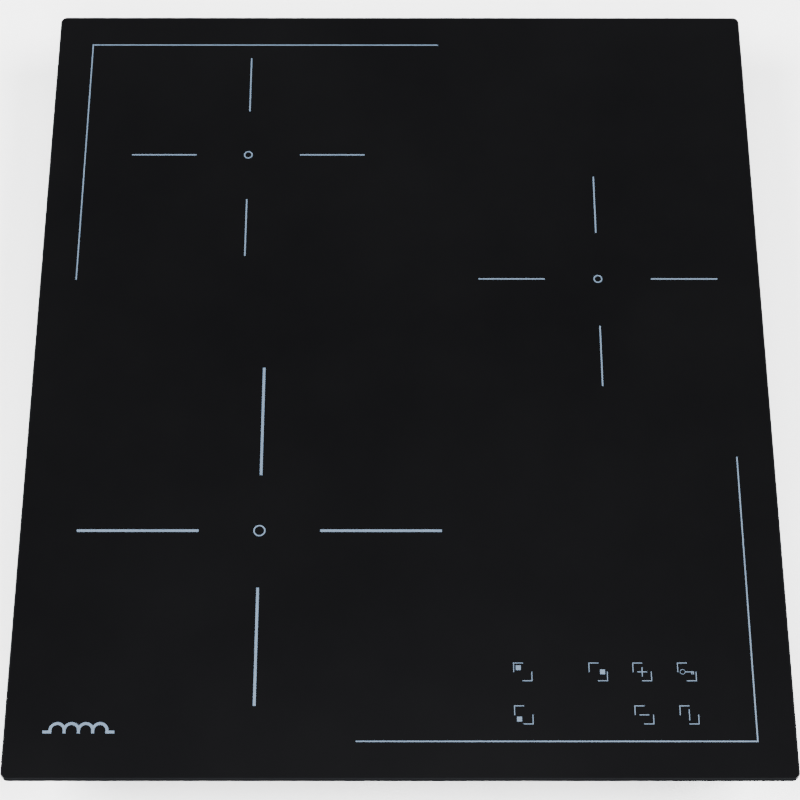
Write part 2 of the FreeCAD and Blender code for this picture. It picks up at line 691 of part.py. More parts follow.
def make_winding(label, x, y, grade):
    """The flat winding as one ring, with a groove between each turn of cable and the next."""
    disc = tube(f"{grade}_coil", "coil_inner", "2 * wire_radius", x, y, "coil_centre_level - wire_radius")
    turns = int((size(f"{grade}_coil") - size("coil_inner")) / size("wire_pitch"))
    grooves = [tube(f"coil_inner + {turn} * wire_pitch + turn_groove / 2",
                    f"coil_inner + {turn} * wire_pitch - turn_groove / 2", "2 * turn_groove", x, y,
                    "coil_centre_level + wire_radius - turn_groove") for turn in range(1, turns)]
    return node("coil_winding_" + label, cut(disc, [group(grooves)]))


def make_former(label, x, y, grade):
    """The coil's plastic carrier: a disc with windows and a hub that reaches the insulating disc."""
    body = new_body("former", x, y, "former_under")
    disc = new_sketch(body)
    add_circle(disc, f"{grade}_coil + former_margin")
    add_circle(disc, "sensor_radius + sensor_gap")
    pad(body, disc, "former_thick")
    hub = new_sketch(body, "former_thick")
    add_circle(hub, "hub_outer")
    add_circle(hub, "hub_inner")
    pad(body, hub, "glass_under - mica_thick - former_under - former_thick")
    window = new_sketch(body)
    add_rectangle(window, f"{grade}_coil - coil_inner - 4 * former_margin", "ferrite_width",
                  f"({grade}_coil + coil_inner) / 2")
    opening = pocket_through(body, window)
    polar_pattern(body, opening, 3)
    return node("coil_former_" + label, body)


def ferrite_bar(x, y, grade, turn):
    """One radial bar; turn is its direction in degrees."""
    length = f"({grade}_coil - ferrite_margin - ferrite_inner)"
    bar = bind(doc.addObject("Part::Box", "ferrite"), Length=length, Width="ferrite_width",
               Height="ferrite_thick")
    bar.Placement = FreeCAD.Placement(FreeCAD.Vector(), FreeCAD.Rotation(FreeCAD.Vector(0, 0, 1), turn))
    cos, sin = f"cos({turn} deg)", f"sin({turn} deg)"
    return place(bar, f"{x} + ferrite_inner * {cos} + ferrite_width / 2 * {sin}",
                 f"{y} + ferrite_inner * {sin} - ferrite_width / 2 * {cos}", "former_under - ferrite_thick")


def helix_spring(x, y, z, length, radius, wire, turns, name="spring"):
    """A compression spring of eight-sided wire, its wire inside the given length."""
    helix = doc.addObject("Part::Helix", "helix")
    height = f"(({length}) - 2 * {wire})"
    bind(helix, Pitch=f"{height} / {turns}", Height=height, Radius=radius)
    section = bind(doc.addObject("Part::RegularPolygon", "section"), Circumradius=wire)
    section.Polygon = WIRE_SIDES
    section.Placement = FreeCAD.Placement(FreeCAD.Vector(), TURNS["-Y"])
    place(section, radius)
    sweep = doc.addObject("Part::Sweep", name)
    sweep.Sections = [section]
    sweep.Spine = (helix, ["Edge1"])
    sweep.Solid = True
    sweep.Frenet = True
    return place(sweep, x, y, f"({z}) + {wire}")


def make_coil(label, x, y, grade):
    make_winding(label, x, y, grade)
    make_former(label, x, y, grade)
    node("coil_mica_" + label, tube(f"{grade}_coil + mica_margin", "mica_hole", "mica_thick", x, y,
                                    "glass_under - mica_thick"))
    bar_step = 40 if grade == "big" else 60
    bars = [ferrite_bar(x, y, grade, turn) for turn in range(bar_step // 2, 360, bar_step)]
    node("coil_ferrites_" + label, group(bars))
    stem = cylinder("sensor_radius", "glass_under - former_under", x, y, "former_under")
    flange = cylinder("sensor_flange", "flange_thick", x, y, "former_under - flange_thick")
    node("coil_sensor_" + label, fuse([stem, flange]))
    floor = "(plate_under + plate_gauge)"
    springs = []
    for turn in (0, 120, 240):
        springs.append(helix_spring(
            f"{x} + {grade}_spring_place * cos({turn} deg)", f"{y} + {grade}_spring_place * sin({turn} deg)",
            floor, f"former_under - {floor}", "spring_radius", "spring_wire", "spring_turns"))
    node("coil_springs_" + label, group(springs))


# ---- boards and the parts on them ------------------------------------------------------------

BOARD_TOP = "board_under + board_thick"


def board_corners(board):
    inset = "board_screw_inset"
    return [(f"{board}_x {sx} ({board}_width / 2 - {inset})", f"{board}_y {sy} ({board}_depth / 2 - {inset})")
            for sx in ("-", "+") for sy in ("-", "+")]


def make_board(label, board):
    body = new_body(label, f"{board}_x", f"{board}_y", "board_under")
    outline = new_sketch(body)
    add_rectangle(outline, f"{board}_width", f"{board}_depth")
    for sx in ("-", ""):
        for sy in ("-", ""):
            add_circle(outline, "screw_radius + hole_slack", f"{sx}({board}_width / 2 - board_screw_inset)",
                       f"{sy}({board}_depth / 2 - board_screw_inset)")
    pad(body, outline, "board_thick")
    return node(label, body)


def make_board_tray():
    """A plastic floor under both boards, with a hollow standoff at each board corner."""
    floors = [box(f"{board}_width", f"{board}_depth", "board_tray_thick", f"{board}_x", f"{board}_y",
                  "tray_gauge") for board in ("power_board", "supply_board")]
    left, right = "(power_board_x + power_board_width / 2)", "(supply_board_x - supply_board_width / 2)"
    bridge = box(f"{right} - {left}", "bridge_depth", "board_tray_thick", f"({left} + {right}) / 2", "0",
                 "tray_gauge")
    corners = board_corners("power_board") + board_corners("supply_board")
    studs = [cylinder("standoff_radius", "board_under - tray_gauge", x, y, "tray_gauge") for x, y in corners]
    holes = [cylinder("screw_radius + hole_slack", "board_under", x, y, "tray_gauge") for x, y in corners]
    return node("board_tray", cut(fuse(floors + [bridge] + studs), [group(holes)]))


def make_inner_screws():
    screws = [screw(x, y, "plate_under + plate_gauge", "-Z") for x, y in POSTS]
    for board in ("power_board", "supply_board"):
        screws += [screw(x, y, BOARD_TOP, "-Z") for x, y in board_corners(board)]
    return node("inner_screws", group(screws))


def make_heat_sink():
    """An aluminium extrusion: an upright spine with level fins along the air stream."""
    spine_x = "sink_x + sink_width / 2 - sink_spine / 2"
    spine = box("sink_spine", "sink_length", "sink_height", spine_x, "sink_y", BOARD_TOP)
    fins = [box("sink_width", "sink_length", "fin_thick", "sink_x", "sink_y",
                f"{BOARD_TOP} + {step} * fin_pitch") for step in range(int(size("fin_count")))]
    return node("heat_sink", fuse([spine] + fins))


def make_devices():
    """Transistor packages and the rectifier, upright against the heat sink's spine, on three legs each."""
    x = "sink_x + sink_width / 2 + device_thick / 2"
    packages = []
    for step in (-2, -1, 0, 1, 2):
        y = f"sink_y + {step} * device_pitch"
        package = box("device_thick", "device_width", "device_height - device_lead", x, y,
                      f"{BOARD_TOP} + device_lead")
        legs = [box("lead_thick", "lead_width", "device_lead", x, f"{y} + {leg} * lead_pitch", BOARD_TOP)
                for leg in (-1, 0, 1)]
        packages.append(fuse([package] + legs))
    return node("power_transistors", group(packages))


def make_capacitors():
    films = [box("film_width", "film_depth", "film_height", "film_x", f"power_board_y + {step} * film_pitch",
                 BOARD_TOP) for step in (-2, -1, 0, 1, 2)]
    buses = [box("bus_width", "bus_depth", "bus_height", "bus_x", f"power_board_y + {step} * film_pitch",
                 BOARD_TOP) for step in (-0.5, 0.5)]
    node("film_capacitors", group(films + buses))
    cans = [cylinder("lytic_radius", "lytic_height", f"lytic_x + {step} * lytic_pitch", "lytic_y", BOARD_TOP)
            for step in (-1, 0, 1)]
    return node("electrolytic_capacitors", group(cans))


def make_choke():
    core_level = f"{BOARD_TOP} + winding_wall"
    core = tube("choke_radius + choke_section / 2", "choke_radius - choke_section / 2", "2 * choke_section",
                "choke_x", "choke_y", core_level)
    node("choke_core", core)
    halves = []
    for start in (size("winding_gap") / 2, size("winding_gap") / 2 + 180):
        sleeve = doc.addObject("Part::Cylinder", "sleeve")
        bind(sleeve, Radius="choke_radius + choke_section / 2 + winding_wall",
             Height="2 * choke_section + 2 * winding_wall", Angle="180 - winding_gap")
        turned = FreeCAD.Rotation(FreeCAD.Vector(0, 0, 1), start)
        sleeve.Placement = FreeCAD.Placement(FreeCAD.Vector(), turned)
        place(sleeve, "choke_x", "choke_y", BOARD_TOP)
        bore = cylinder("choke_radius - choke_section / 2 - winding_wall",
                        "2 * choke_section + 2 * winding_wall", "choke_x", "choke_y", BOARD_TOP)
        halves.append(cut(sleeve, [bore, tube("choke_radius + choke_section / 2",
                                              "choke_radius - choke_section / 2", "2 * choke_section",
                                              "choke_x", "choke_y", core_level)]))
    return node("choke_windings", group(halves))


def make_transformer():
    """A small ferrite transformer: two outer legs and yokes round a taped bobbin."""
    core = box("transformer_width", "transformer_width / 2", "transformer_height", "transformer_x",
               "transformer_y", BOARD_TOP)
    bobbin = box("transformer_width - 4 * bobbin_margin", "transformer_width + bobbin_margin",
                 "transformer_height - 2 * bobbin_margin", "transformer_x", "transformer_y",
                 f"{BOARD_TOP} + bobbin_margin")
    return node("supply_transformer", fuse([core, bobbin]))


def make_relays():
    return node("relays", group([
        box("relay_width", "relay_depth", "relay_height", "relay_x", f"relay_y + {step} * relay_pitch",
            BOARD_TOP) for step in (-1, 0, 1)]))


# ---- fan -------------------------------------------------------------------------------------

def direction(degrees):
    return FreeCAD.Vector(math.cos(math.radians(degrees)), math.sin(math.radians(degrees)), 0)


def scroll_arcs():
    """The snail's arcs as (centre, radius, from, to); each is larger than the last and tangent to it."""
    centre, radius, start = FreeCAD.Vector(), size("scroll_radius"), size("tongue_angle")
    arcs = []
    for end in (270, 360, 450, 540):
        arcs.append((centre, radius, start, end))
        centre = centre - direction(end) * size("scroll_step")
        radius, start = radius + size("scroll_step"), end
    return arcs


def fan_feet():
    """The middles of the case's three feet, just outside its wall."""
    return [centre + direction(start + 45) * (radius + size("fan_foot") / 2)
            for centre, radius, start, end in scroll_arcs()[1:]]


def scroll_face(inset):
    """The snail outline, drawn in by the inset: its arcs, then straight on to the mouth."""
    edges = []
    for centre, radius, start, end in scroll_arcs():
        points = [centre + direction(angle) * (radius - inset) for angle in (start, (start + end) / 2, end)]
        edges.append(Part.Arc(*points).toShape())
    tongue, last = edges[0].Vertexes[0].Point, edges[-1].Vertexes[-1].Point
    mouth = -size("scroll_mouth")
    side = tongue.x - inset
    corners = [last, FreeCAD.Vector(last.x, mouth, 0), FreeCAD.Vector(side, mouth, 0)]
    if inset:
        corners.append(FreeCAD.Vector(side, tongue.y, 0))
    corners.append(tongue)
    edges += [Part.makeLine(first, second) for first, second in zip(corners, corners[1:])]
    return Part.Face(Part.Wire(edges))


def make_fan_housing():
    """A snail-shaped case with a roof; it is open below over the intake and at its mouth."""
    roof_under = size("scroll_height") - size("fan_roof")
    up = FreeCAD.Vector(0, 0, 1)
    case = scroll_face(0).extrude(up * size("scroll_height"))
    foot_radius, foot_thick = size("fan_foot"), size("fan_foot_thick")
    for middle in fan_feet():
        foot = Part.makeCylinder(foot_radius, foot_thick, middle)
        stud = Part.makeCylinder(size("screw_radius"), size("tray_gauge"), middle - up * size("tray_gauge"))
        case = case.fuse([foot, stud])
    case = case.cut(scroll_face(size("scroll_wall")).extrude(up * roof_under))
    case.translate(FreeCAD.Vector(size("fan_x"), size("fan_y"), size("tray_gauge")))
    return shape_node("fan_housing", case.removeSplitter())


def make_fan_motor():
    roof_under = "tray_gauge + scroll_height - fan_roof"
    stator = cylinder("stator_radius", f"{roof_under} - stator_low", "fan_x", "fan_y", "stator_low")
    shaft = cylinder("shaft_radius", f"{roof_under} - impeller_low", "fan_x", "fan_y", "impeller_low")
    return node("fan_motor", fuse([stator, shaft]))


def make_impeller():
    """A squirrel-cage rotor: a cup round the motor, a back disc, a ring of blades and a tie ring."""
    body = new_body("impeller", "fan_x", "fan_y")
    bore = "shaft_radius + shaft_slack"
    disc = new_sketch(body, "impeller_high")
    add_circle(disc, "impeller_radius")
    add_circle(disc, "hub_radius - hub_wall")
    pad(body, disc, "disc_thick")
    cup = new_sketch(body, "hub_low")
    add_circle(cup, "hub_radius")
    add_circle(cup, "hub_radius - hub_wall")
    pad(body, cup, "impeller_high - hub_low")
    floor = new_sketch(body, "hub_low")
    add_circle(floor, "hub_radius")
    add_circle(floor, bore)
    pad(body, floor, "hub_wall")
    boss = new_sketch(body, "hub_low / 2 + impeller_low / 2")
    add_circle(boss, "2 * shaft_radius")
    add_circle(boss, bore)
    pad(body, boss, "hub_low / 2 - impeller_low / 2")
    blade = new_sketch(body, "impeller_low")
    add_rectangle(blade, "blade_depth", "blade_thick", "impeller_radius - blade_depth / 2 - blade_inset")
    vane = pad(body, blade, "impeller_high - impeller_low")
    polar_pattern(body, vane, "blade_count")
    ring = new_sketch(body, "impeller_low")
    add_circle(ring, "impeller_radius")
    add_circle(ring, "impeller_radius - blade_depth / 4")
    pad(body, ring, "hub_wall")
    return node("fan_impeller", body)


# ---- control unit ----------------------------------------------------------------------------

def make_control_carrier():
    """A shallow plastic tray on four legs that holds the touch board under the glass."""
    outer = box("control_width", "control_depth", "control_rim", "control_x", "control_y", "control_under")
    inside = box("control_width - 2 * control_wall", "control_depth - 2 * control_wall", "control_rim",
                 "control_x", "control_y", "control_under + control_wall")
    legs, ribs = [], []
    for sx in ("-", "+"):
        for sy in ("-", "+"):
            legs.append(box("leg_width", "leg_width", "control_under - tray_gauge",
                            f"control_x {sx} (control_width - leg_width) / 2",
                            f"control_y {sy} (control_depth - leg_width) / 2", "tray_gauge"))
        ribs.append(box("control_wall", "control_depth - control_wall", "control_board_under - control_under",
                        f"control_x {sx} control_width / 3", "control_y", "control_under"))
    return node("control_carrier", fuse([cut(outer, [inside])] + legs + ribs))


def make_control_unit():
    make_control_carrier()
    margin = "2 * (control_wall + control_board_gap)"
    node("control_board", box(f"control_width - {margin}", f"control_depth - {margin}", "board_thick",
                              "control_x", "control_y", "control_board_under"))
    top = "control_board_under + board_thick"
    node("touch_springs", group([
        helix_spring(x, y, top, f"glass_under - ({top})", "touch_radius", "touch_wire", "touch_turns")
        for x, y, meaning in KEYS]))
    shift = "(cell_width + display_width) / 2 + display_gap"
    places = ((f"column_one + {shift}", "row_rear"), (f"column_one + {shift}", "row_front"),
              (f"column_two - ({shift})", "row_rear"))
    node("level_displays", group([
        box("display_width", "display_depth", "display_height", x, y, top) for x, y in places]))


# ---- terminal box, cover and cable inlet -----------------------------------------------------

REAR_FACE = "tray_depth / 2"
REAR_INSIDE = "(tray_depth / 2 - tray_gauge - hole_slack)"
PIN_Y = "tray_depth / 2 + pin_stand_off"
EAR_SPAN = "(window_width - 2 * ear_thick - 2 * cover_gap)"


def make_terminal_box():
    """A plastic box on a low plinth, open to the rear, with two ears through the wall for the cover."""
    y = f"{REAR_INSIDE} - terminal_deep / 2"
    outer = box("terminal_width", "terminal_deep", "terminal_high - tray_bend", "terminal_x", y, "tray_bend")
    inside = box("terminal_width - 2 * terminal_wall", "terminal_deep",
                 "terminal_high - tray_bend - 2 * terminal_wall", "terminal_x", f"{y} + terminal_wall",
                 "tray_bend + terminal_wall")
    extras = [box("terminal_width", "terminal_deep / 2", "tray_bend - tray_gauge", "terminal_x",
                  f"{REAR_INSIDE} - 3 * terminal_deep / 4", "tray_gauge")]
    for side in ("-", "+"):
        ear_x = f"window_x {side} (window_width / 2 - cover_gap - ear_thick / 2)"
        root = box("ear_thick", f"{PIN_Y} - {REAR_INSIDE} + terminal_wall", "2 * ear_radius", ear_x,
                   f"({PIN_Y} + {REAR_INSIDE} - terminal_wall) / 2", "pin_level - ear_radius")
        stem = box("ear_thick", "2 * terminal_wall", "pin_level + ear_radius - terminal_high + terminal_wall",
                   ear_x, f"{REAR_INSIDE} - terminal_wall", "terminal_high - terminal_wall")
        eye = cylinder("ear_radius", "ear_thick", f"{ear_x} - ear_thick / 2", PIN_Y, "pin_level", "+X")
        extras += [root, stem, eye]
    holes = cylinder("pin_radius + shaft_slack", "window_width", "window_x - window_width / 2", PIN_Y,
                     "pin_level", "+X")
    return node("terminal_box", cut(fuse([cut(outer, [inside])] + extras), [holes]))


def make_terminal_block():
    """Six poles in line; each has a screw that faces the cover, and a wire hole below it."""
    face = f"{REAR_INSIDE} - block_set_back"
    base = "tray_bend + terminal_wall"
    y = f"{face} - block_deep / 2"
    block = box("block_width", "block_deep", "block_high", "window_x", y, base)
    poles = [f"window_x + {step} * pole_pitch" for step in (-2.5, -1.5, -0.5, 0.5, 1.5, 2.5)]
    entries = [cylinder("screw_radius", "block_deep / 2", x, face, f"{base} + block_high / 4", "-Y")
               for x in poles]
    screw_level = f"{base} + pole_screw_level"
    bores = [cylinder("screw_radius + hole_slack", "pole_bore", x, face, screw_level, "-Y")
             for x in poles]
    node("terminal_block", cut(block, [group(entries + bores)]))
    return node("terminal_screws", group([screw(x, face, screw_level, "-Y") for x in poles]))


def make_terminal_cover():
    """A flap over the window; it hangs on two short pins at its upper edge."""
    y = f"{REAR_FACE} + cover_gap + cover_thick / 2"
    flap = box("cover_width", "cover_thick", "cover_high - cover_low", "window_x", y, "cover_low")
    neck = box(EAR_SPAN + " - 2 * cover_gap", "cover_thick", "pin_level - cover_high + neck_overlap",
               "window_x", y, "cover_high - neck_overlap")
    barrel = cylinder("barrel_radius", EAR_SPAN + " - 2 * cover_gap",
                      f"window_x - {EAR_SPAN} / 2 + cover_gap", PIN_Y, "pin_level", "+X")
    pins = cylinder("pin_radius", EAR_SPAN + " + 2 * (ear_thick - pin_recess)",
                    f"window_x - {EAR_SPAN} / 2 - ear_thick + pin_recess", PIN_Y, "pin_level", "+X")
    return node("terminal_cover", fuse([flap, neck, barrel, pins]))


def make_grommet():
    """A rubber ring in the rear wall, grooved to grip the sheet."""
    body = new_body("grommet", "inlet_x", REAR_FACE, "inlet_level")
    section = new_sketch(body)
    add_polygon(section, (
        ("inlet_bore", "-tray_gauge - inlet_inner"), ("inlet_flange", "-tray_gauge - inlet_inner"),
        ("inlet_flange", "-tray_gauge"), ("inlet_neck", "-tray_gauge"), ("inlet_neck", "0"),
        ("inlet_flange", "0"), ("inlet_flange", "inlet_outer"), ("inlet_bore", "inlet_outer")))
    turned = body.newObject("PartDesign::Revolution", "turned")
    turned.Profile = section
    turned.ReferenceAxis = (section, ["V_Axis"])
    turned.Angle = 360
    return node("cable_grommet", body)


# ---- build, check and write ------------------------------------------------------------------

prints = [make_zone_prints(), make_corner_lines(), make_key_prints(), make_badge()]
make_glass(prints)
make_seal()
make_bead()
make_frame()
make_tray()
make_casing_screws()
make_clips()
make_rating_plate()
make_coil_plate()
make_posts()
for zone, (zone_x, zone_y, zone_grade) in ZONES.items():
    make_coil(zone, zone_x, zone_y, zone_grade)
make_board("power_board", "power_board")
make_board("supply_board", "supply_board")
make_board_tray()
make_inner_screws()
make_heat_sink()
make_devices()
make_capacitors()
make_choke()
make_transformer()
make_relays()
make_fan_housing()
make_fan_motor()
make_impeller()
make_control_unit()
make_terminal_box()
make_terminal_block()
make_terminal_cover()
make_grommet()
doc.recompute()

for thing in doc.Objects:
    if "Invalid" in thing.State or "Error" in thing.State:
        raise RuntimeError(f"{thing.Name} ({thing.Label}) failed: {thing.State}")
for thing in NODES:
    if thing.Shape.isNull() or not thing.Shape.isValid() or not thing.Shape.Solids:
        raise RuntimeError(f"{thing.Label} has no valid shape")

os.makedirs("parts", exist_ok=True)
for thing in NODES:
    thing.Shape.exportStep(f"parts/{thing.Label}.step")
print(len(NODES), "nodes")
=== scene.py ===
import json
import math
import random

import bmesh
import bpy
from mathutils import Matrix, Vector

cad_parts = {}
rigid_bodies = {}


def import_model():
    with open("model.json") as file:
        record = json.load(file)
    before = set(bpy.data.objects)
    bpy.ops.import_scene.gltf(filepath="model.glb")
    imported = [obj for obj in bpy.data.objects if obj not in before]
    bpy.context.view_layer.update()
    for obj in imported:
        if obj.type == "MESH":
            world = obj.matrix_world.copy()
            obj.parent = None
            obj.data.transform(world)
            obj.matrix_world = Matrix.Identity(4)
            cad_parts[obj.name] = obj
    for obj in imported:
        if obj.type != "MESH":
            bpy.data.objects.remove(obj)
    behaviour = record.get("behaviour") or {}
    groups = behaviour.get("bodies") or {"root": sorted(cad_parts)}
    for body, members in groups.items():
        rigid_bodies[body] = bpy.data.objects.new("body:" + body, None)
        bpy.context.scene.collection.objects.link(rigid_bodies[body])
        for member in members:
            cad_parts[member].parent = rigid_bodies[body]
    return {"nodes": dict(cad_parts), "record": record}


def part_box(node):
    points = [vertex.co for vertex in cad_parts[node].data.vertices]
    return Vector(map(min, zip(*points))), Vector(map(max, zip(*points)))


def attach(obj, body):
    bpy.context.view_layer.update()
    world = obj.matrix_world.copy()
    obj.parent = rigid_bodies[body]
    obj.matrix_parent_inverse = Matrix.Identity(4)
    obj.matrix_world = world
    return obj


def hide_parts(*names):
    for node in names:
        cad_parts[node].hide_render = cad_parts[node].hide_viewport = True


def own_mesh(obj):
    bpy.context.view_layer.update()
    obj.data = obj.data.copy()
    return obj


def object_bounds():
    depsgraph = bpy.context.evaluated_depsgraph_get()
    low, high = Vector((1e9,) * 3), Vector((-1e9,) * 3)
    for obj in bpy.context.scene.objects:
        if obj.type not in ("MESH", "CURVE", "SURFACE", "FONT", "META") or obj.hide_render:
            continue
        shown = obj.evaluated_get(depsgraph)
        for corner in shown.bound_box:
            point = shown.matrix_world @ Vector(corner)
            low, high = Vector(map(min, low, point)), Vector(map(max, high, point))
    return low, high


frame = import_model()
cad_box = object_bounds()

# A built-in induction hob. Metres, +X the user's right, +Y the rear, +Z up.

MM = 0.001
NOTHING = 1e-9  # a radius on the axis
RECORD = frame["record"]
SLOT_OF = {row["node"]: row["material_slot"] for row in RECORD["subparts"]}
BODY_OF = {node: body for body, nodes in RECORD["behaviour"]["bodies"].items() for node in nodes}
random.seed(7)


# ---- node trees ----

def add(tree, kind, inputs=None, **settings):
    """A node with its settings made and its inputs set or linked."""
    node = tree.nodes.new(kind)
    for key, value in settings.items():
        setattr(node, key, value)
    for key, value in (inputs or {}).items():
        if isinstance(value, bpy.types.NodeSocket):
            tree.links.new(value, node.inputs[key])
        else:
            node.inputs[key].default_value = value
    return node


class Finish:
    """A procedural material: object coordinates, patterns in metres, one Principled shader."""

    def __init__(self, name, roughness=0.5, metallic=0.0, ior=1.5, coat=0.0, coat_roughness=0.05):
        self.material = bpy.data.materials.new(name)
        self.material.use_nodes = True
        self.tree = self.material.node_tree
        self.shader = self.tree.nodes["Principled BSDF"]
        for key, value in (("Roughness", roughness), ("Metallic", metallic), ("IOR", ior),
                           ("Coat Weight", coat), ("Coat Roughness", coat_roughness)):
            self.shader.inputs[key].default_value = value
        self.place = add(self.tree, "ShaderNodeTexCoord").outputs["Object"]

    def stretched(self, x, y, z):
        return add(self.tree, "ShaderNodeMapping", {"Vector": self.place, "Scale": (x, y, z)}).outputs[0]

    def noise(self, size, detail=3.0, vector=None):
        """Cloudy noise; size is the width of its blotches in metres."""
        return add(self.tree, "ShaderNodeTexNoise", {
            "Vector": vector or self.place, "Scale": 1 / size, "Detail": detail,
            "Roughness": 0.55}).outputs["Fac"]

    def cells(self, size, output="Color", vector=None):
        """Cells about as wide as size: their colour, or the distance from their middle."""
        return add(self.tree, "ShaderNodeTexVoronoi", {
            "Vector": vector or self.place, "Scale": 1 / size}).outputs[output]

    def axis(self, letter, vector=None):
        return add(self.tree, "ShaderNodeSeparateXYZ", {"Vector": vector or self.place}).outputs[letter]

    def math(self, operation, first, second=0.0):
        return add(self.tree, "ShaderNodeMath", {0: first, 1: second}, operation=operation).outputs[0]

    def span(self, value, low, high, out_low=0.0, out_high=1.0):
        return add(self.tree, "ShaderNodeMapRange", {
            "Value": value, "From Min": low, "From Max": high, "To Min": out_low,
            "To Max": out_high}).outputs[0]

    def spread(self, value, out_low=0.0, out_high=1.0):
        """A noise stretched from the range that it mostly keeps to."""
        return self.span(value, 0.3, 0.7, out_low, out_high)

    def blend(self, amount, first, second):
        """Two colours mixed by the amount."""
        mixer = add(self.tree, "ShaderNodeMix", data_type="RGBA")
        for index, value in ((0, amount), (6, first), (7, second)):
            if isinstance(value, bpy.types.NodeSocket):
                self.tree.links.new(value, mixer.inputs[index])
            else:
                mixer.inputs[index].default_value = value if index == 0 else (*value, 1)
        return mixer.outputs[2]

    def bump(self, height, depth, under=None):
        inputs = {"Height": height, "Distance": depth, "Strength": 1.0}
        if under:
            inputs["Normal"] = under
        return add(self.tree, "ShaderNodeBump", inputs).outputs[0]

    def done(self, **sockets):
        """Links or sets the shader's own sockets, named in lower case with underscores."""
        for key, value in sockets.items():
            socket = self.shader.inputs[key.replace("_", " ").title().replace(" Ior ", " IOR ")]
            if isinstance(value, bpy.types.NodeSocket):
                self.tree.links.new(value, socket)
            else:
                socket.default_value = (*value, 1) if isinstance(value, tuple) else value
        return self.material


# ---- finishes, one for each material slot ----

def black_glass():
    """Polished black glass-ceramic; its edges are ground, its underside has moulded nubs."""
    low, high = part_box("glass_plate")
    finish = Finish("black_glass", roughness=0.04, ior=1.52)
    across = finish.math("ABSOLUTE", finish.axis("X"))
    along = finish.math("ABSOLUTE", finish.axis("Y"))
    start, full = 1.1 * MM, 0.5 * MM  # where the ground rim begins and is whole, from the edge
    rim = finish.math("MAXIMUM", finish.span(across, high.x - start, high.x - full),
                      finish.span(along, high.y - start, high.y - full))
    below = finish.span(finish.axis("Z"), low.z + 0.4 * MM, low.z + 0.1 * MM)
    ground = finish.math("MAXIMUM", rim, below)
    smudge = finish.span(finish.noise(0.09, 4.0), 0.35, 0.75)
    grain = finish.noise(0.0006, 2.0)
    tone = finish.blend(smudge, (0.0008, 0.0008, 0.0009), (0.0012, 0.0012, 0.0013))
    edge_tone = finish.blend(grain, (0.003, 0.003, 0.0035), (0.0055, 0.006, 0.0065))
    rough = finish.math("ADD", finish.span(smudge, 0, 1, 0.030, 0.055),
                        finish.span(ground, 0, 1, 0.0, 0.27))
    nubs = finish.cells(3.2 * MM, "Distance")
    dimple = finish.math("MULTIPLY", finish.span(nubs, 0.0, 0.45, 1.0, 0.0), below)
    normal = finish.bump(dimple, 0.25 * MM)
    normal = finish.bump(finish.math("MULTIPLY", grain, ground), 0.02 * MM, under=normal)
    return finish.done(base_color=finish.blend(ground, tone, edge_tone), roughness=rough, normal=normal,
                       specular_ior_level=finish.span(ground, 0, 1, 0.5, 0.0))


def print_enamel():
    """Pale blue-grey enamel fired into the glass, with the fine dots of its screen."""
    finish = Finish("print_enamel", roughness=0.34, ior=1.48)
    mesh = finish.cells(0.24 * MM, "Distance")
    dots = finish.span(mesh, 0.15, 0.55)
    cloud = finish.spread(finish.noise(0.03, 3.0))
    tone = finish.blend(cloud, (0.054, 0.080, 0.117), (0.066, 0.095, 0.135))
    speck = finish.blend(finish.math("MULTIPLY", dots, 0.35), tone, (0.034, 0.053, 0.079))
    rough = finish.spread(finish.noise(0.4 * MM, 2.0), 0.28, 0.42)
    return finish.done(base_color=speck, roughness=rough, normal=finish.bump(mesh, 0.008 * MM))


def foam_seal():
    """Closed-cell foam: fine burst cells with painted shade in their pits, and lighter patches that are a
    painted sheen where it was slit.
    """
    finish = Finish("foam_seal", roughness=0.92, ior=1.35)
    pores = finish.cells(0.7 * MM, "Distance")
    fine = finish.cells(0.28 * MM, "Distance")
    # painted shade: darker towards the middle of each pore, where the pore bump sinks
    tone = finish.blend(finish.span(pores, 0.1, 0.6), (0.012, 0.012, 0.013), (0.038, 0.038, 0.040))
    # painted sheen: lighter noise patches over the foam's colour
    tone = finish.blend(finish.span(finish.noise(0.02), 0.4, 0.7, 0.0, 0.4), tone, (0.055, 0.055, 0.058))
    normal = finish.bump(pores, 0.22 * MM)
    return finish.done(base_color=tone, normal=finish.bump(fine, 0.07 * MM, under=normal))


def silicone():
    finish = Finish("silicone", roughness=0.42, ior=1.41)
    ripple = finish.noise(6 * MM, 3.0)
    tone = finish.blend(finish.spread(ripple), (0.010, 0.010, 0.011), (0.022, 0.022, 0.023))
    rough = finish.spread(ripple, 0.35, 0.5)
    return finish.done(base_color=tone, roughness=rough, normal=finish.bump(ripple, 0.4 * MM))


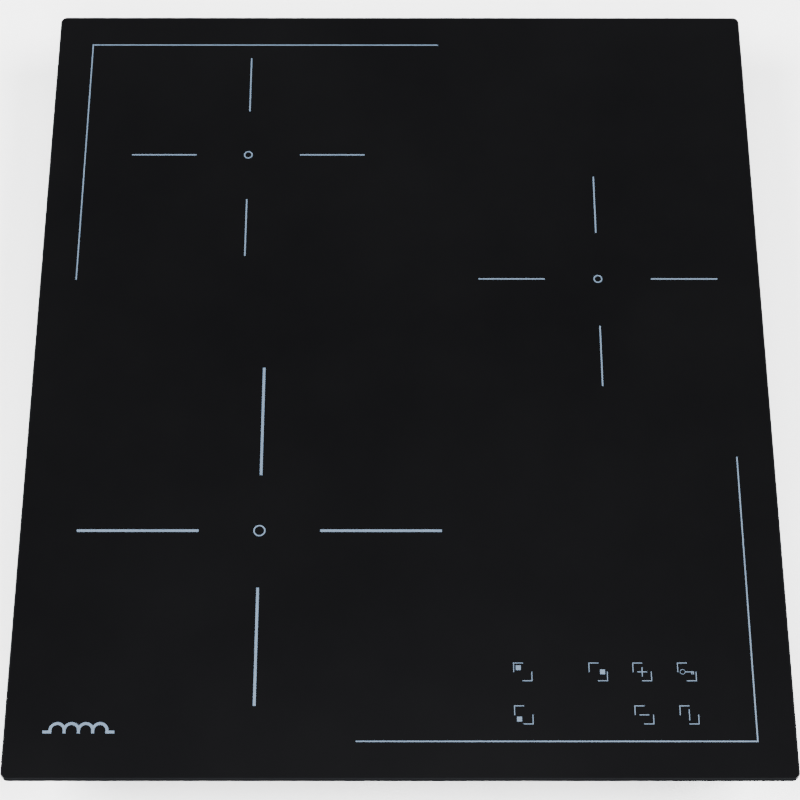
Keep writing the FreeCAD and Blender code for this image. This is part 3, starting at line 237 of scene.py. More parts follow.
def zinc_steel():
    """Hot-dip zinc sheet: a frosty spangle of flat crystals, rolling lines and handling scuffs."""
    finish = Finish("zinc_steel", roughness=0.4, metallic=0.92)
    warp = finish.noise(9 * MM, 3.0)
    offset = add(finish.tree, "ShaderNodeVectorMath", {
        0: finish.place, 1: finish.blend(warp, (-0.0016, -0.0016, -0.0016), (0.0016, 0.0016, 0.0016))},
        operation="ADD").outputs[0]
    spangle = finish.axis("X", finish.cells(7.5 * MM, "Color", offset))
    feather = finish.noise(0.7 * MM, 2.0, finish.stretched(1, 0.25, 1))
    level = finish.math("ADD", finish.span(spangle, 0, 1, 0.0, 0.72), finish.spread(feather, 0.0, 0.28))
    tone = finish.blend(level, (0.30, 0.31, 0.325), (0.47, 0.48, 0.495))
    dull = finish.span(finish.noise(0.06, 5.0), 0.42, 0.68, 0.0, 0.55)
    tone = finish.blend(dull, tone, (0.28, 0.285, 0.29))
    scuff = finish.noise(0.5 * MM, 2.0, finish.stretched(0.03, 1, 1))
    patches = finish.span(finish.noise(0.03), 0.5, 0.62)
    streak = finish.math("MULTIPLY", finish.span(scuff, 0.60, 0.72), patches)
    tone = finish.blend(finish.math("MULTIPLY", streak, 0.4), tone, (0.58, 0.59, 0.60))
    rough = finish.math("ADD", finish.span(level, 0, 1, 0.44, 0.30), finish.span(dull, 0, 0.55, 0.0, 0.16))
    normal = finish.bump(level, 0.012 * MM)
    return finish.done(base_color=tone, roughness=rough, normal=finish.bump(scuff, 0.006 * MM, under=normal))


def rolled_steel(name, dark, light, along=(1, 1, 0.04), roughness=(0.26, 0.42)):
    """Bright or dark strip steel with fine lines along its rolling direction."""
    finish = Finish(name, metallic=1.0)
    lines = finish.noise(0.35 * MM, 3.0, finish.stretched(*along))
    patch = finish.noise(12 * MM, 4.0)
    level = finish.math("ADD", finish.spread(lines, 0.0, 0.6), finish.spread(patch, 0.0, 0.4))
    rough = finish.span(level, 0, 1, roughness[1], roughness[0])
    return finish.done(base_color=finish.blend(level, dark, light), roughness=rough,
                       normal=finish.bump(lines, 0.008 * MM))


def screw_steel():
    """Bright zinc plating with a faint blue cast."""
    finish = Finish("screw_steel", metallic=1.0)
    patch = finish.spread(finish.noise(1.6 * MM, 4.0))
    tone = finish.blend(patch, (0.52, 0.54, 0.57), (0.74, 0.75, 0.76))
    return finish.done(base_color=tone, roughness=finish.span(patch, 0, 1, 0.36, 0.22),
                       normal=finish.bump(finish.noise(0.2 * MM, 2.0), 0.01 * MM))


def label_foil():
    """Satin foil with a printed border and empty ruled boxes."""
    low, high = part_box("rating_plate")
    finish = Finish("label_foil", roughness=0.34, metallic=0.85)
    brushed = finish.noise(0.3 * MM, 2.0, finish.stretched(1, 0.04, 1))
    tone = finish.blend(finish.spread(brushed), (0.60, 0.61, 0.62), (0.76, 0.77, 0.78))
    off, half = [], []
    for letter, start, end in (("Y", low.y, high.y), ("Z", low.z, high.z)):
        off.append(finish.math("ABSOLUTE", finish.math("SUBTRACT", finish.axis(letter), (start + end) / 2)))
        half.append((end - start) / 2)

    def field(inset):
        """The label's face inside an even margin."""
        return finish.math("MULTIPLY", finish.math("LESS_THAN", off[0], half[0] - inset),
                           finish.math("LESS_THAN", off[1], half[1] - inset))

    def rules(distance, pitch, share):
        """Thin lines, one for each pitch; share is the line's part of it."""
        along = finish.math("FRACT", finish.math("MULTIPLY", distance, 1 / pitch))
        return finish.math("LESS_THAN", along, share)

    core = field(2.5 * MM)
    border = finish.math("SUBTRACT", field(2 * MM), core)
    grid = finish.math("MAXIMUM", rules(off[1], 5 * MM, 0.06), rules(off[0], 20 * MM, 0.02))
    ruled = finish.math("MULTIPLY", grid, core)
    ink = finish.math("MAXIMUM", border, ruled)
    return finish.done(base_color=finish.blend(ink, tone, (0.03, 0.03, 0.035)),
                       metallic=finish.span(ink, 0, 1, 0.85, 0.0),
                       roughness=finish.spread(brushed, 0.42, 0.3))


def sheet_aluminium():
    """Mill-finish sheet: long rolling lines, a few scratches and faint stains."""
    finish = Finish("sheet_aluminium", metallic=1.0)
    lines = finish.noise(0.5 * MM, 3.0, finish.stretched(0.02, 1, 1))
    stain = finish.noise(0.05, 5.0)
    level = finish.math("ADD", finish.spread(lines, 0.0, 0.55), finish.spread(stain, 0.0, 0.45))
    return finish.done(base_color=finish.blend(level, (0.60, 0.61, 0.62), (0.80, 0.81, 0.82)),
                       roughness=finish.span(level, 0, 1, 0.42, 0.26), normal=finish.bump(lines, 0.008 * MM))


def sink_aluminium():
    """Extruded aluminium, with die lines along its length."""
    finish = Finish("sink_aluminium", metallic=1.0)
    lines = finish.noise(0.4 * MM, 3.0, finish.stretched(1, 0.01, 1))
    return finish.done(base_color=finish.blend(finish.spread(lines), (0.50, 0.51, 0.53), (0.74, 0.75, 0.76)),
                       roughness=finish.spread(lines, 0.44, 0.28), normal=finish.bump(lines, 0.03 * MM))


def copper(name, dark, light, strand):
    """Enamelled copper: clear varnish over metal, with painted shade between the strands where the fine bump
    sinks.
    """
    finish = Finish(name, metallic=0.9, coat=0.6, coat_roughness=0.16)
    fine = finish.noise(strand, 2.0)
    patch = finish.noise(8 * MM, 3.0)
    # painted shade: the fine noise darkens the colour where its bump sinks, between the strands
    level = finish.math("ADD", finish.spread(fine, 0.0, 0.55), finish.spread(patch, 0.0, 0.45))
    return finish.done(base_color=finish.blend(level, dark, light),
                       roughness=finish.spread(fine, 0.4, 0.24), normal=finish.bump(fine, 0.03 * MM))


def moulded(name, dark, light, texture=0.45, roughness=(0.42, 0.58), depth=0.03, size=22.0):
    """Moulded plastic: spark-eroded grain, slow shade changes of its flow."""
    finish = Finish(name, ior=1.49)
    grain = finish.noise(texture * MM, 3.0)
    flow = finish.spread(finish.noise(size * MM, 3.0))
    rough = finish.math("ADD", finish.spread(grain, roughness[0], roughness[1] - 0.05),
                        finish.span(flow, 0, 1, 0.0, 0.05))
    return finish.done(base_color=finish.blend(flow, dark, light), roughness=rough,
                       normal=finish.bump(grain, depth * MM))


def ferrite():
    """Sintered ferrite: matt dark grey with pores and bright chipped crystals."""
    finish = Finish("ferrite", roughness=0.6, ior=1.8)
    pores = finish.cells(0.5 * MM, "Distance")
    chips = finish.span(finish.noise(0.35 * MM, 2.0), 0.66, 0.74)
    tone = finish.blend(finish.spread(finish.noise(6 * MM)), (0.035, 0.035, 0.038), (0.075, 0.075, 0.08))
    return finish.done(base_color=finish.blend(chips, tone, (0.20, 0.20, 0.21)),
                       roughness=finish.span(chips, 0, 1, 0.62, 0.35), normal=finish.bump(pores, 0.05 * MM))


def mica():
    """Pressed mica sheet: overlapping flakes with a pearly glint."""
    finish = Finish("mica", ior=1.58)
    flakes = finish.axis("X", finish.cells(2.4 * MM))
    small = finish.axis("Y", finish.cells(0.9 * MM))
    level = finish.math("ADD", finish.math("MULTIPLY", flakes, 0.6), finish.math("MULTIPLY", small, 0.4))
    return finish.done(base_color=finish.blend(level, (0.40, 0.35, 0.26), (0.66, 0.61, 0.50)),
                       roughness=finish.span(level, 0, 1, 0.55, 0.28), normal=finish.bump(level, 0.015 * MM))


def circuit_board():
    """Green lacquer over copper tracks that run at right angles, with tinned round pads."""
    finish = Finish("circuit_board", ior=1.5, coat=0.5, coat_roughness=0.12)
    tracks = None
    for scale, width in (((1, 0.16, 1), 0.46), ((0.16, 1, 1), 0.47)):
        block = finish.axis("X", finish.cells(11 * MM, vector=finish.stretched(*scale)))
        letter = "X" if scale[0] == 1 else "Y"
        stripes = finish.math("FRACT", finish.math("MULTIPLY", finish.axis(letter), 1 / (2.4 * MM)))
        line = finish.math("MULTIPLY", finish.math("GREATER_THAN", stripes, width),
                           finish.math("GREATER_THAN", block, 0.5))
        tracks = line if tracks is None else finish.math("MAXIMUM", tracks, line)
    pads = finish.math("LESS_THAN", finish.cells(4.8 * MM, "Distance"), 0.13)
    tone = finish.blend(tracks, (0.006, 0.060, 0.022), (0.020, 0.125, 0.045))
    tone = finish.blend(finish.spread(finish.noise(0.03), 0.0, 0.3), tone, (0.010, 0.085, 0.030))
    return finish.done(base_color=finish.blend(pads, tone, (0.66, 0.66, 0.64)),
                       metallic=finish.math("MULTIPLY", pads, 0.9),
                       roughness=finish.spread(finish.noise(0.9 * MM), 0.3, 0.45),
                       normal=finish.bump(finish.math("MAXIMUM", tracks, pads), 0.035 * MM))


def grommet_rubber():
    """Soft black rubber with a dusty bloom."""
    finish = Finish("grommet_rubber", ior=1.45)
    bloom = finish.span(finish.noise(5 * MM, 4.0), 0.4, 0.7)
    grain = finish.noise(0.25 * MM, 2.0)
    return finish.done(base_color=finish.blend(bloom, (0.014, 0.014, 0.015), (0.036, 0.036, 0.037)),
                       roughness=finish.spread(grain, 0.62, 0.8), normal=finish.bump(grain, 0.03 * MM))


# Dark tone, light tone, width of the grain in mm, then roughness from and to, depth of the grain and
# width of the flow in mm where they are not the usual ones.
MOULDED = {
    "former_plastic": ((0.66, 0.64, 0.57), (0.78, 0.76, 0.70), 0.6, (0.45, 0.6)),
    "sensor_cap": ((0.70, 0.69, 0.66), (0.80, 0.79, 0.77), 0.3, (0.35, 0.5)),
    "tray_plastic": ((0.030, 0.030, 0.033), (0.050, 0.050, 0.054), 0.5),
    "device_black": ((0.016, 0.016, 0.017), (0.030, 0.030, 0.032), 0.25, (0.38, 0.5), 0.015, 6.0),
    "film_cap": ((0.018, 0.065, 0.27), (0.03, 0.095, 0.36), 0.3, (0.22, 0.34), 0.01, 12.0),
    "lytic_sleeve": ((0.014, 0.014, 0.030), (0.024, 0.024, 0.050), 0.8, (0.18, 0.28), 0.012, 10.0),
    "choke_ferrite": ((0.035, 0.12, 0.06), (0.06, 0.17, 0.09), 0.9, (0.35, 0.5), 0.04, 8.0),
    "transformer_tape": ((0.62, 0.46, 0.05), (0.78, 0.60, 0.09), 1.6, (0.2, 0.34), 0.02, 9.0),
    "relay_case": ((0.012, 0.05, 0.17), (0.02, 0.07, 0.23), 0.3, (0.2, 0.32), 0.008, 10.0),
    "fan_plastic": ((0.018, 0.018, 0.019), (0.034, 0.034, 0.036), 0.35, (0.36, 0.5)),
    "control_plastic": ((0.72, 0.72, 0.69), (0.82, 0.82, 0.79), 0.5),
    "display_lens": ((0.045, 0.008, 0.008), (0.075, 0.012, 0.012), 1.2, (0.1, 0.18), 0.004, 5.0),
    "terminal_plastic": ((0.40, 0.405, 0.41), (0.50, 0.505, 0.51), 0.5, (0.42, 0.56)),
    "block_plastic": ((0.66, 0.64, 0.57), (0.78, 0.76, 0.69), 0.4, (0.4, 0.52)),
}

# Dark tone, light tone, stretch of the rolling lines, roughness from and to.
UPRIGHT_LINES = (1, 1, 0.04)
ROLLED = {
    "frame_steel": ((0.30, 0.31, 0.32), (0.50, 0.51, 0.52), (0.05, 0.05, 1)),
    "spring_steel": ((0.20, 0.20, 0.215), (0.40, 0.40, 0.42), UPRIGHT_LINES, (0.24, 0.4)),
    "motor_steel": ((0.40, 0.40, 0.42), (0.60, 0.60, 0.62), (1, 1, 0.1)),
    "touch_wire": ((0.55, 0.55, 0.56), (0.78, 0.78, 0.79), UPRIGHT_LINES, (0.18, 0.3)),
    "terminal_brass": ((0.46, 0.34, 0.15), (0.78, 0.62, 0.32), UPRIGHT_LINES, (0.2, 0.36)),
}

# Dark tone, light tone, width of a strand.
COPPER = {
    "copper_litz": ((0.34, 0.13, 0.055), (0.80, 0.40, 0.20), 0.32 * MM),
    "copper_wire": ((0.42, 0.15, 0.06), (0.84, 0.40, 0.19), 1.2 * MM),
}

FINISHES = {maker.__name__: maker() for maker in (
    black_glass, print_enamel, foam_seal, silicone, zinc_steel, screw_steel, label_foil, sheet_aluminium,
    sink_aluminium, ferrite, mica, grommet_rubber)}
FINISHES["board_green"] = circuit_board()
for maker, table in ((moulded, MOULDED), (rolled_steel, ROLLED), (copper, COPPER)):
    FINISHES.update({name: maker(name, *values) for name, values in table.items()})

for node_name, cad_object in frame["nodes"].items():
    cad_object.data.materials.clear()
    cad_object.data.materials.append(FINISHES[SLOT_OF[node_name]])


# ---- mesh and geometry-node helpers ----

def islands(node):
    """The separate solids of a CAD node as (low corner, high corner), in order of place."""
    mesh = bmesh.new()
    mesh.from_mesh(frame["nodes"][node].data)
    bmesh.ops.remove_doubles(mesh, verts=mesh.verts, dist=0.001 * MM)
    unseen, found = set(mesh.verts), []
    while unseen:
        front, part = [unseen.pop()], []
        while front:
            vert = front.pop()
            part.append(vert.co.copy())
            for edge in vert.link_edges:
                other = edge.other_vert(vert)
                if other in unseen:
                    unseen.remove(other)
                    front.append(other)
        found.append((Vector(map(min, *part)), Vector(map(max, *part))))
    mesh.free()
    return sorted(found, key=lambda box: tuple(round(value, 5) for value in (*box[0], *box[1])))


def middle(box):
    return (box[0] + box[1]) / 2


def nodes_named(start):
    """The CAD nodes whose names begin alike."""
    return [name for name in frame["nodes"] if name.startswith(start)]


def in_mm(*points):
    """Profile points given in millimetres."""
    return [(radius * MM, height * MM) for radius, height in points]


def shaded(mesh, smooth_angle=35):
    mesh.shade_smooth()
    mesh.set_sharp_from_angle(angle=math.radians(smooth_angle))
    return mesh


def as_mesh(shape, name="shape", smooth_angle=35):
    """A bmesh made into mesh data: doubles merged, faces out, sharp edges kept sharp."""
    bmesh.ops.remove_doubles(shape, verts=shape.verts, dist=0.0005 * MM)
    bmesh.ops.recalc_face_normals(shape, faces=shape.faces)
    mesh = bpy.data.meshes.new(name)
    shape.to_mesh(mesh)
    shape.free()
    return shaded(mesh, smooth_angle)


def piece(name, mesh, slot, body="casing", replaces=()):
    """A finished piece: its finish, the body it rides on and the CAD nodes it stands for."""
    item = bpy.data.objects.new(name, mesh)
    bpy.context.scene.collection.objects.link(item)
    mesh.materials.clear()
    mesh.materials.append(FINISHES[slot])
    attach(item, body)
    if replaces:
        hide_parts(*replaces)
    return item


def slab(low, high, rounding=0.0, steps=3, into=None):
    """A block between two corners with all its edges rounded."""
    shape = into or bmesh.new()
    low, high = Vector(low), Vector(high)
    made = bmesh.ops.create_cube(shape, size=1)["verts"]
    bmesh.ops.transform(shape, verts=made, matrix=Matrix.LocRotScale((low + high) / 2, None, high - low))
    if rounding:
        edges = list(dict.fromkeys(edge for vert in made for edge in vert.link_edges))
        bmesh.ops.bevel(shape, geom=edges, offset=rounding, segments=steps, profile=0.5, affect="EDGES")
    return shape


def lathe(profile, centre=(0, 0, 0), out=(0, 0, 1), steps=32, into=None):
    """Turns (radius, height) points about an axis: a closed ring, or a solid that closes on the axis."""
    shape = into or bmesh.new()
    turn = Vector((0, 0, 1)).rotation_difference(Vector(out)).to_matrix().to_4x4()
    seat = Matrix.Translation(Vector(centre)) @ turn
    rings = []
    for radius, height in profile:
        angles = [0] if radius < NOTHING else [math.tau * step / steps for step in range(steps)]
        places = [Vector((radius * math.cos(angle), radius * math.sin(angle), height)) for angle in angles]
        rings.append([shape.verts.new(seat @ place) for place in places])
    following = rings[1:] if len(rings[0]) == 1 else rings[1:] + rings[:1]
    for first, second in zip(rings, following):
        for step in range(steps):
            corners = list(dict.fromkeys((
                first[step % len(first)], first[(step + 1) % len(first)],
                second[(step + 1) % len(second)], second[step % len(second)])))
            if len(corners) > 2:
                shape.faces.new(corners)
    return shape


def join_rings(shape, rings):
    """Faces between each closed ring of vertices and the next."""
    for first, second in zip(rings, rings[1:]):
        for step in range(len(first)):
            after = (step + 1) % len(first)
            shape.faces.new((first[step], first[after], second[after], second[step]))


def prism(outline, start, end, place, rounding=0.0, into=None):
    """A flat outline drawn out from start to end; place turns (across, up, along) into a point."""
    shape = into or bmesh.new()
    ends = [[shape.verts.new(place(across, up, along)) for across, up in outline] for along in (start, end)]
    count = len(outline)
    made = [shape.faces.new((ends[0][step], ends[0][(step + 1) % count], ends[1][(step + 1) % count],
                             ends[1][step])) for step in range(count)]
    made += [shape.faces.new(ends[0]), shape.faces.new(reversed(ends[1]))]
    bmesh.ops.recalc_face_normals(shape, faces=made)
    if rounding:
        rims = list(dict.fromkeys(edge for face in made[-2:] for edge in face.edges))
        bmesh.ops.bevel(shape, geom=rims, offset=rounding, segments=2, profile=0.5, affect="EDGES")
    return shape


def points_mesh(points, **vectors):
    """A mesh of loose points that carries one vector attribute for each keyword."""
    mesh = bpy.data.meshes.new("points")
    mesh.from_pydata([tuple(point) for point in points], [], [])
    for name, values in vectors.items():
        layer = mesh.attributes.new(name, "FLOAT_VECTOR", "POINT")
        layer.data.foreach_set("vector", [part for value in values for part in value])
    return mesh


TEMPLATES = []


def template(name, mesh):
    """A shape that a tree copies; it is removed when the pieces are made."""
    item = bpy.data.objects.new(name, mesh)
    TEMPLATES.append(item)
    bpy.context.scene.collection.objects.link(item)
    return item


class Grower:
    """A geometry-node tree under construction, with named inputs for its sizes."""

    def __init__(self, name, *sizes):
        self.tree = bpy.data.node_groups.new(name, "GeometryNodeTree")
        self.tree.is_modifier = True
        face = self.tree.interface
        face.new_socket("Geometry", in_out="INPUT", socket_type="NodeSocketGeometry")
        face.new_socket("Geometry", in_out="OUTPUT", socket_type="NodeSocketGeometry")
        self.ids = {size: face.new_socket(size, in_out="INPUT", socket_type="NodeSocketFloat").identifier
                    for size in sizes}
        self.size = add(self.tree, "NodeGroupInput").outputs

    def node(self, kind, inputs=None, **settings):
        return add(self.tree, kind, inputs, **settings)

    def math(self, operation, first, second=0.0):
        return self.node("ShaderNodeMath", {0: first, 1: second}, operation=operation).outputs[0]

    def copies(self, geometry, rotation=None):
        """One copy of the geometry on each point that comes in."""
        inputs = {"Points": self.size["Geometry"], "Instance": geometry}
        if rotation:
            inputs["Rotation"] = rotation
        return self.node("GeometryNodeInstanceOnPoints", inputs).outputs[0]

    def finish(self, geometry, slot):
        real = self.node("GeometryNodeRealizeInstances", {"Geometry": geometry}).outputs[0]
        smooth = self.node("GeometryNodeSetShadeSmooth", {"Geometry": real}).outputs[0]
        painted = self.node("GeometryNodeSetMaterial", {"Geometry": smooth, "Material": FINISHES[slot]})
        self.node("NodeGroupOutput", {"Geometry": painted.outputs[0]})
        return self

    def grow(self, start, smooth_angle=40, **values):
        """Runs the tree on a mesh and returns the plain mesh that it makes."""
        carrier = bpy.data.objects.new("carrier", start)
        bpy.context.scene.collection.objects.link(carrier)
        modifier = carrier.modifiers.new("grow", "NODES")
        modifier.node_group = self.tree
        for size, value in values.items():
            modifier[self.ids[size]] = float(value)
        bpy.context.view_layer.update()
        evaluated = carrier.evaluated_get(bpy.context.evaluated_depsgraph_get())
        mesh = bpy.data.meshes.new_from_object(evaluated)
        carrier.modifiers.remove(modifier)
        bpy.data.objects.remove(carrier)
        return shaded(mesh, smooth_angle)


def copies_tree(name, shape, slot):
    """Copies of one shape on points; each faces its point's `out` and is turned by its `spin`."""
    grower = Grower(name)
    out, spin = (grower.node("GeometryNodeInputNamedAttribute", {"Name": kept},
                             data_type="FLOAT_VECTOR").outputs["Attribute"] for kept in ("out", "spin"))
    turned = grower.node("FunctionNodeEulerToRotation", {0: spin})
    aimed = grower.node("FunctionNodeAlignRotationToVector", {"Vector": out}, axis="Z")
    both = grower.node("FunctionNodeRotateRotation", {
        "Rotation": aimed.outputs[0], "Rotate By": turned.outputs[0]}, rotation_space="LOCAL")
    source = grower.node("GeometryNodeObjectInfo", {"Object": shape}, transform_space="ORIGINAL")
    return grower.finish(grower.copies(source.outputs["Geometry"], both.outputs[0]), slot)


def set_out(tree, places, smooth_angle=35):
    """Grows a copies tree on (point, out, spin angle) rows."""
    points = points_mesh([row[0] for row in places], out=[row[1] for row in places],
                         spin=[(0, 0, row[2]) for row in places])
    return tree.grow(points, smooth_angle)


# ---- screws ----

HEAD_RADIUS, HEAD_THICK, SHANK_RADIUS, SHANK_LENGTH = 3.5 * MM, 2 * MM, 2 * MM, 7 * MM


def screw_shape(name, slots):
    """A screw whose head rests at the origin: domed head with its drive slots, threaded shank."""
    pitch, root, crest = 0.7 * MM, 0.80 * SHANK_RADIUS, 0.99 * SHANK_RADIUS
    profile = [(0, -SHANK_LENGTH), (0.45 * SHANK_RADIUS, -SHANK_LENGTH)]
    depth = -SHANK_LENGTH + 0.5 * pitch
    while depth < -1.2 * pitch:
        profile += [(root, depth), (crest, depth + 0.35 * pitch), (crest, depth + 0.5 * pitch),
                    (root, depth + 0.85 * pitch)]
        depth += pitch
    profile += [(root, 0), (0.97 * HEAD_RADIUS, 0)]
    for angle in range(90, -1, -15):
        profile.append((HEAD_RADIUS * math.sin(math.radians(angle)),
                        HEAD_THICK * (0.45 + 0.55 * math.cos(math.radians(angle)))))
    body = template(name, as_mesh(lathe(profile, steps=20), name))
    cutter = bmesh.new()
    for across, along in slots:
        slab((-across / 2, -along / 2, 0.35 * HEAD_THICK), (across / 2, along / 2, 2 * HEAD_THICK),
             into=cutter)
    tool = template(name + "_drive", as_mesh(cutter))
    cut = body.modifiers.new("drive", "BOOLEAN")
    cut.object, cut.operation, cut.solver, cut.use_self = tool, "DIFFERENCE", "EXACT", True
    bpy.context.view_layer.update()
    mesh = bpy.data.meshes.new_from_object(body.evaluated_get(bpy.context.evaluated_depsgraph_get()))
    body.modifiers.remove(cut)
    body.data = shaded(mesh)
    return body


def make_screws():
    """Every screw of the hob: cross-head casing and inner screws, slotted terminal screws."""
    narrow = 0.26 * HEAD_RADIUS
    cross = screw_shape("cross_screw", [(narrow, 1.15 * HEAD_RADIUS), (1.15 * HEAD_RADIUS, narrow)])
    slotted = screw_shape("slotted_screw", [(narrow, 3 * HEAD_RADIUS)])
    bright = copies_tree("cross screws", cross, "screw_steel")
    brass = copies_tree("slotted screws", slotted, "terminal_brass")
    for node, tree in (("casing_screws", bright), ("inner_screws", bright), ("terminal_screws", brass)):
        places = []
        for box in islands(node):
            seat, extent = middle(box), box[1] - box[0]
            along = max(range(3), key=lambda index: extent[index])
            sign = -1 if node == "casing_screws" and seat[along] < 0 else 1
            out = Vector((0, 0, 0))
            out[along] = sign
            seat[along] = box[sign > 0][along] - sign * HEAD_THICK
            places.append((seat, out, random.uniform(0, math.pi)))
        piece(node + "_turned", set_out(tree, places), SLOT_OF[node], BODY_OF[node], [node])


# ---- worktop seal, label, clips, grommet, terminal cover ----

def make_seal():
    """A foam strip with soft edges, laid in one loop under the glass rim."""
    low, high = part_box("worktop_seal")
    grower = Grower("seal strip", "Width", "Depth", "Band", "Thick", "Corner", "Soft")
    size = grower.size
    path = grower.node("GeometryNodeCurvePrimitiveQuadrilateral", {
        "Width": grower.math("SUBTRACT", size["Width"], size["Band"]),
        "Height": grower.math("SUBTRACT", size["Depth"], size["Band"])})
    rounded = grower.node("GeometryNodeFilletCurve", {
        "Curve": path.outputs[0], "Radius": size["Corner"], "Count": 8, "Limit Radius": True}, mode="POLY")
    section = grower.node("GeometryNodeCurvePrimitiveQuadrilateral", {
        "Width": size["Thick"], "Height": size["Band"]})
    soft = grower.node("GeometryNodeFilletCurve", {
        "Curve": section.outputs[0], "Radius": size["Soft"], "Count": 4, "Limit Radius": True}, mode="POLY")
    upright = grower.node("GeometryNodeSetCurveNormal", {"Curve": rounded.outputs[0]}, mode="Z_UP")
    tube = grower.node("GeometryNodeCurveToMesh", {
        "Curve": upright.outputs[0], "Profile Curve": soft.outputs[0]})
    grower.finish(tube.outputs[0], "foam_seal")
    extent = high - low
    mesh = grower.grow(points_mesh([]), Width=extent.x, Depth=extent.y, Band=6 * MM, Thick=extent.z,
                       Corner=3 * MM, Soft=0.5 * MM)
    mesh.transform(Matrix.Translation(middle((low, high))))
    piece("worktop_seal_strip", mesh, "foam_seal", "casing", ["worktop_seal"])


def rounded_outline(half_wide, half_high, radius, steps=6):
    points = []
    for quarter in range(4):
        wide = (half_wide - radius) * (1 if quarter in (0, 3) else -1)
        high = (half_high - radius) * (1 if quarter < 2 else -1)
        for step in range(steps + 1):
            angle = math.radians(90 * (quarter + step / steps))
            points.append((wide + radius * math.cos(angle), high + radius * math.sin(angle)))
    return points


def make_rating_label():
    """A blank foil card with round corners on the left wall."""
    low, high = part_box("rating_plate")
    seat, half = middle((low, high)), (high - low) / 2
    shape = prism(rounded_outline(half.y, half.z, 2.5 * MM), low.x, high.x,
                  lambda across, up, along: (along, seat.y + across, seat.z + up), 0.08 * MM)
    piece("rating_label", as_mesh(shape), "label_foil", "casing", ["rating_plate"])


LEAF_HALF = 0.4 * MM  # half the thickness of a clip's strip


def leaf_line(low, high, steps=8):
    """The strip's middle line as (out, up): straight from its foot, then a smooth bend over its bulge."""
    tip_tall, tip_back = 4 * MM, 1 * MM
    foot = Vector((low.x + LEAF_HALF, low.z))
    bulge = Vector((high.x - LEAF_HALF, high.z - tip_tall))
    tip = Vector((high.x - LEAF_HALF - tip_back, high.z))
    bend = foot.lerp(bulge, 0.78)
    line = [foot.lerp(bend, step / 4) for step in range(4)]
    for step in range(steps + 1):
        share = step / steps
        line.append(bend.lerp(bulge, share).lerp(bulge.lerp(tip, share), share))
    return line


def make_clip_leaves():
    """Four worktop spring clips, each a smoothly bent strip with a pressed groove up its middle."""
    across = (0, 0.03, 0.36, 0.44, 0.5, 0.56, 0.64, 0.97, 1)
    for node in nodes_named("clip_leaf_"):
        low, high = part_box(node)
        sign = 1 if low.x > 0 else -1
        if sign < 0:
            low, high = Vector((-high.x, low.y, low.z)), Vector((-low.x, high.y, high.z))
        line = leaf_line(low, high)
        ways = [(line[min(index + 1, len(line) - 1)] - line[max(index - 1, 0)]).normalized()
                for index in range(len(line))]
        shape = bmesh.new()
        rings = []
        for index, (point, way) in enumerate(zip(line, ways)):
            aside = Vector((way.y, -way.x))
            share = index / (len(line) - 1)
            narrow = 0.12 * (high.y - low.y) * max(0.0, share - 0.8) / 0.2
            groove = 0.35 * MM * math.sin(math.pi * min(1.0, max(0.0, (share - 0.12) / 0.45)))
            ring = []
            for side in (1, -1):
                for part in across[::side]:
                    y = low.y + narrow + (high.y - low.y - 2 * narrow) * part
                    depth = LEAF_HALF * (0.55 if part in (0, 1) else 1)
                    sunk = groove if 0.4 < part < 0.6 else 0
                    spot = point + aside * (side * depth - sunk)
                    ring.append(shape.verts.new((sign * spot.x, y, spot.y)))
            rings.append(ring)
        join_rings(shape, rings)
        shape.faces.new(rings[0])
        shape.faces.new(reversed(rings[-1]))
        piece(node + "_strip", as_mesh(shape, smooth_angle=30), "spring_steel", BODY_OF[node], [node])


def make_grommet():
    """A soft rubber ring with a rounded lip outside and a barbed flange inside the wall."""
    low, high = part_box("cable_grommet")
    seat, outer = middle((low, high)), (high.x - low.x) / 2 / MM
    lip, bore, neck = 3, 6, 9.4
    profile = in_mm(
        (bore + 0.3, -2.8), (outer - 1.4, -2.8), (outer, -1.5), (outer, -0.9), (outer - 0.1, -0.8),
        (neck, -0.8), (neck, 0), (outer - 0.1, 0), (outer, 0.1), (outer, 1.3), (outer - 0.5, 2.1),
        (outer - 1.5, 2.7), (outer - 2.6, lip), (bore + 1.2, lip), (bore + 0.5, 2.8), (bore, 2.2),
        (bore, -2.4))
    shape = lathe(profile, (seat.x, high.y - lip * MM, seat.z), (0, 1, 0), 48)
    piece("cable_grommet_moulded", as_mesh(shape, smooth_angle=45), "grommet_rubber", "casing",
          ["cable_grommet"])


